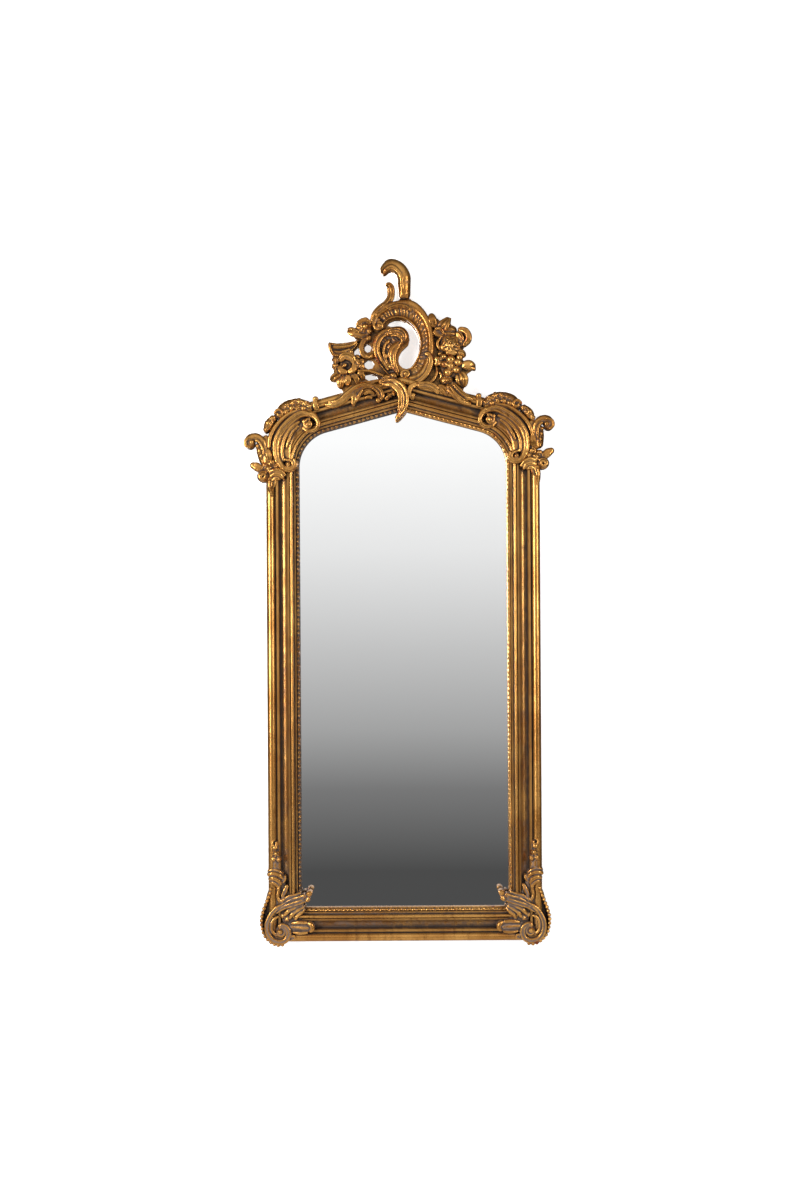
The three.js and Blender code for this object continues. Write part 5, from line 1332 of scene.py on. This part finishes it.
def mirror_glass():
    g = new_material("silvered_glass")
    film = g.noise(3.0, 3)
    return g.principled(Base_Color=g.mix(film, SILVER, PALE_SILVER), Metallic=1.0,
                        Roughness=g.span(film, 0.2, 0.8, 0.004, 0.012))


def hardboard():
    g = new_material("hardboard")
    fibre, speck = g.noise(220.0, 8, 0.7), g.noise(1980.0, 3, 0.6)
    tone = g.mix(g.span(fibre, 0.3, 0.7), DARK_HARDBOARD, HARDBOARD)
    tone = g.mix(g.span(speck, 0.6, 0.8, 0.0, 0.4), tone, DARK_HARDBOARD)
    return g.principled(Base_Color=tone, Roughness=g.span(fibre, 0.2, 0.8, 0.67, 0.83),
                        Normal=g.bump(speck, 0.0004, 0.4))


def plated(name, bright, dull, rough):
    g = new_material(name)
    haze, scratch = g.noise(60.0, 5), g.noise(500.0, 3, 0.6, (1, 1, 0.2))
    return g.principled(Base_Color=g.mix(g.span(haze, 0.35, 0.7), bright, dull), Metallic=0.95,
                        Roughness=g.span(haze, 0.3, 0.7, rough - 0.08, rough + 0.12),
                        Normal=g.bump(scratch, 0.0002, 0.3))


def rubber():
    g = new_material("black_rubber")
    grit = g.noise(700.0, 3)
    return g.principled(Base_Color=g.mix(grit, RUBBER, DUSTY_RUBBER),
                        Roughness=g.span(grit, 0.3, 0.7, 0.7, 0.9), Normal=g.bump(grit, 0.0003, 0.5))


def dress(thing, material):
    thing.data.materials.clear()
    thing.data.materials.append(material)


FINISHES = {
    "gilt_moulding": gilt("gilt_moulding", 0.8),
    "gilt_carving": gilt("gilt_carving", 1.0),
    "gilt_slip": gilt("gilt_slip", 0.9),
    "crest_board": gilt("crest_board", 1.0, back_height=1.0),
    "mirror_glass": mirror_glass(),
    "back_board": hardboard(),
    "zinc_hardware": plated("zinc_plate", ZINC, DULL_ZINC, 0.38),
    "brass_hardware": plated("brass_plate", BRASS, DULL_BRASS, 0.32),
    "rubber_pad": rubber(),
}
SLOT_OF = {row["node"]: row["material_slot"] for row in frame["record"]["subparts"]}
MOVING_BODY = {"left_hanger_ring": "left_ring", "right_hanger_ring": "right_ring"}

for node, thing in pieces.items():
    dress(thing, FINISHES[SLOT_OF[node]])
    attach(thing, MOVING_BODY.get(node, "root"))
    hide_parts(node)
for node, thing in frame["nodes"].items():
    for slot in thing.material_slots:
        slot.material = FINISHES[SLOT_OF[node]]

# ---- Stage -----------------------------------------------------------------

FLOOR_Z, FLOOR_REACH = -0.75, 3
WALL_Y, WALL_REACH, WALL_TOP = 0.0095, 4, 4
PAPER_SHADE = (0.78, 0.78, 0.78)
PAPER_WHITENESS, PAPER_GLOW = 0.66, 0.12


def paper(name, hung):
    """Pale paper that stays white and keeps shadows. Hung paper is seen from the front alone."""
    g = new_material(name)
    seen = g.add("ShaderNodeLightPath").outputs["Is Camera Ray"]
    glow = g.add("ShaderNodeEmission")
    g.feed(glow.inputs["Strength"], g.span(seen, 0.0, 1.0, PAPER_GLOW, PAPER_WHITENESS))
    surface = g.made("ShaderNodeAddShader", g.made("ShaderNodeBsdfDiffuse", PAPER_SHADE), glow.outputs[0])
    if hung:
        behind = g.add("ShaderNodeNewGeometry").outputs["Backfacing"]
        surface = g.made("ShaderNodeMixShader", g.minus(seen, behind, clamp=True),
                         g.made("ShaderNodeBsdfTransparent"), surface)
    return g.end(surface)


def stage_plane(name, corners, material):
    mesh = bpy.data.meshes.new(name)
    mesh.from_pydata(corners, [], [(0, 1, 2, 3)])
    thing = new_object(name, mesh)
    dress(thing, material)


stage_plane("floor", [(x * FLOOR_REACH, y * FLOOR_REACH, FLOOR_Z)
                      for x, y in ((-1, -1), (1, -1), (1, 1), (-1, 1))], paper("floor_paper", hung=False))
stage_plane("backdrop", [(x, WALL_Y, z) for x, z in ((-WALL_REACH, FLOOR_Z), (WALL_REACH, FLOOR_Z),
                                                     (WALL_REACH, WALL_TOP), (-WALL_REACH, WALL_TOP))],
            paper("backdrop_paper", hung=True))


def area_lamp(name, place, target, size, power):
    data = bpy.data.lights.new(name, "AREA")
    data.shape = "RECTANGLE"
    data.size, data.size_y = size
    data.energy = power
    lamp = new_object(name, data)
    lamp.location = place
    lamp.rotation_mode = "QUATERNION"
    lamp.rotation_quaternion = (Vector(target) - Vector(place)).to_track_quat("-Z", "Y")


area_lamp("key", (-2.1, -2.2, 1.0), (0, 0, 0.9), (0.6, 1.5), 72)
area_lamp("fill", (2.1, -2.2, 1.1), (0, 0, 0.9), (0.5, 1.4), 34)
area_lamp("rear", (-1.0, 3.0, 1.9), (0, 0, 0.8), (1.6, 1.6), 70)

# The studio the glass looks into: white above, falling to dark grey below, as
# (height of the direction, level). Away from straight ahead it is dim, which
# gives the gold its depth.
STUDIO = [(-0.185, 0.072), (-0.13, 0.19), (-0.09, 0.37), (-0.035, 0.55), (0.035, 0.81), (0.11, 1.0)]
ROOM_DIMNESS = 0.10
AHEAD_START, AHEAD_END = 0.25, 0.93
SOFT_LIGHT = 0.26
WHITE = (1, 1, 1)


def studio():
    """White to the camera, an even soft light to matt surfaces and a studio to gloss."""
    g = Graph(bpy.data.worlds.new("studio"))
    way = g.add("ShaderNodeSeparateXYZ")
    g.feed(way.inputs[0], g.place["Generated"])
    low, high = STUDIO[0][0], STUDIO[-1][0]
    ramp = g.add("ShaderNodeValToRGB")
    g.feed(ramp.inputs[0], g.span(way.outputs[2], low, high, kind="LINEAR"))
    stops = ramp.color_ramp.elements
    for height, _ in STUDIO[1:-1]:
        stops.new((height - low) / (high - low))
    for stop, (_, level) in zip(stops, STUDIO):
        stop.color = (level, level, level, 1)
    ahead = g.span(way.outputs[1], -AHEAD_START, -AHEAD_END, ROOM_DIMNESS, 1.0, kind="LINEAR")
    room = g.mix(1.0, ramp.outputs[0], ahead, "MULTIPLY")
    ray = g.add("ShaderNodeLightPath").outputs
    soft = g.made("ShaderNodeBackground", WHITE, SOFT_LIGHT)
    gloss = g.made("ShaderNodeBackground", room, 1.0)
    seen = g.made("ShaderNodeBackground", WHITE, 1.0)
    unseen = g.made("ShaderNodeMixShader", ray["Is Glossy Ray"], soft, gloss)
    surface = g.made("ShaderNodeMixShader", ray["Is Camera Ray"], unseen, seen)
    return g.end(surface, "ShaderNodeOutputWorld")


bpy.context.scene.world = studio()

# ---- Camera: straight on, level with the middle of the picture --------------

CAMERA_DISTANCE, PICTURE_HEIGHT, SENSOR = 3.6, 3.0, 36.0
CAMERA_X, CAMERA_Z = -0.009, 0.812
PICTURE_DEPTH = -0.035
CAMERA_ROLL = math.radians(0.35)

camera = new_object("camera", bpy.data.cameras.new("camera"))
bpy.context.scene.camera = camera
camera.data.sensor_width = SENSOR
camera.data.lens = SENSOR * CAMERA_DISTANCE / PICTURE_HEIGHT
camera.data.clip_end = 50
camera.location = (CAMERA_X, PICTURE_DEPTH - CAMERA_DISTANCE, CAMERA_Z)
camera.rotation_euler = (math.radians(90), CAMERA_ROLL, 0)

bpy.context.scene.view_settings.view_transform = "Standard"
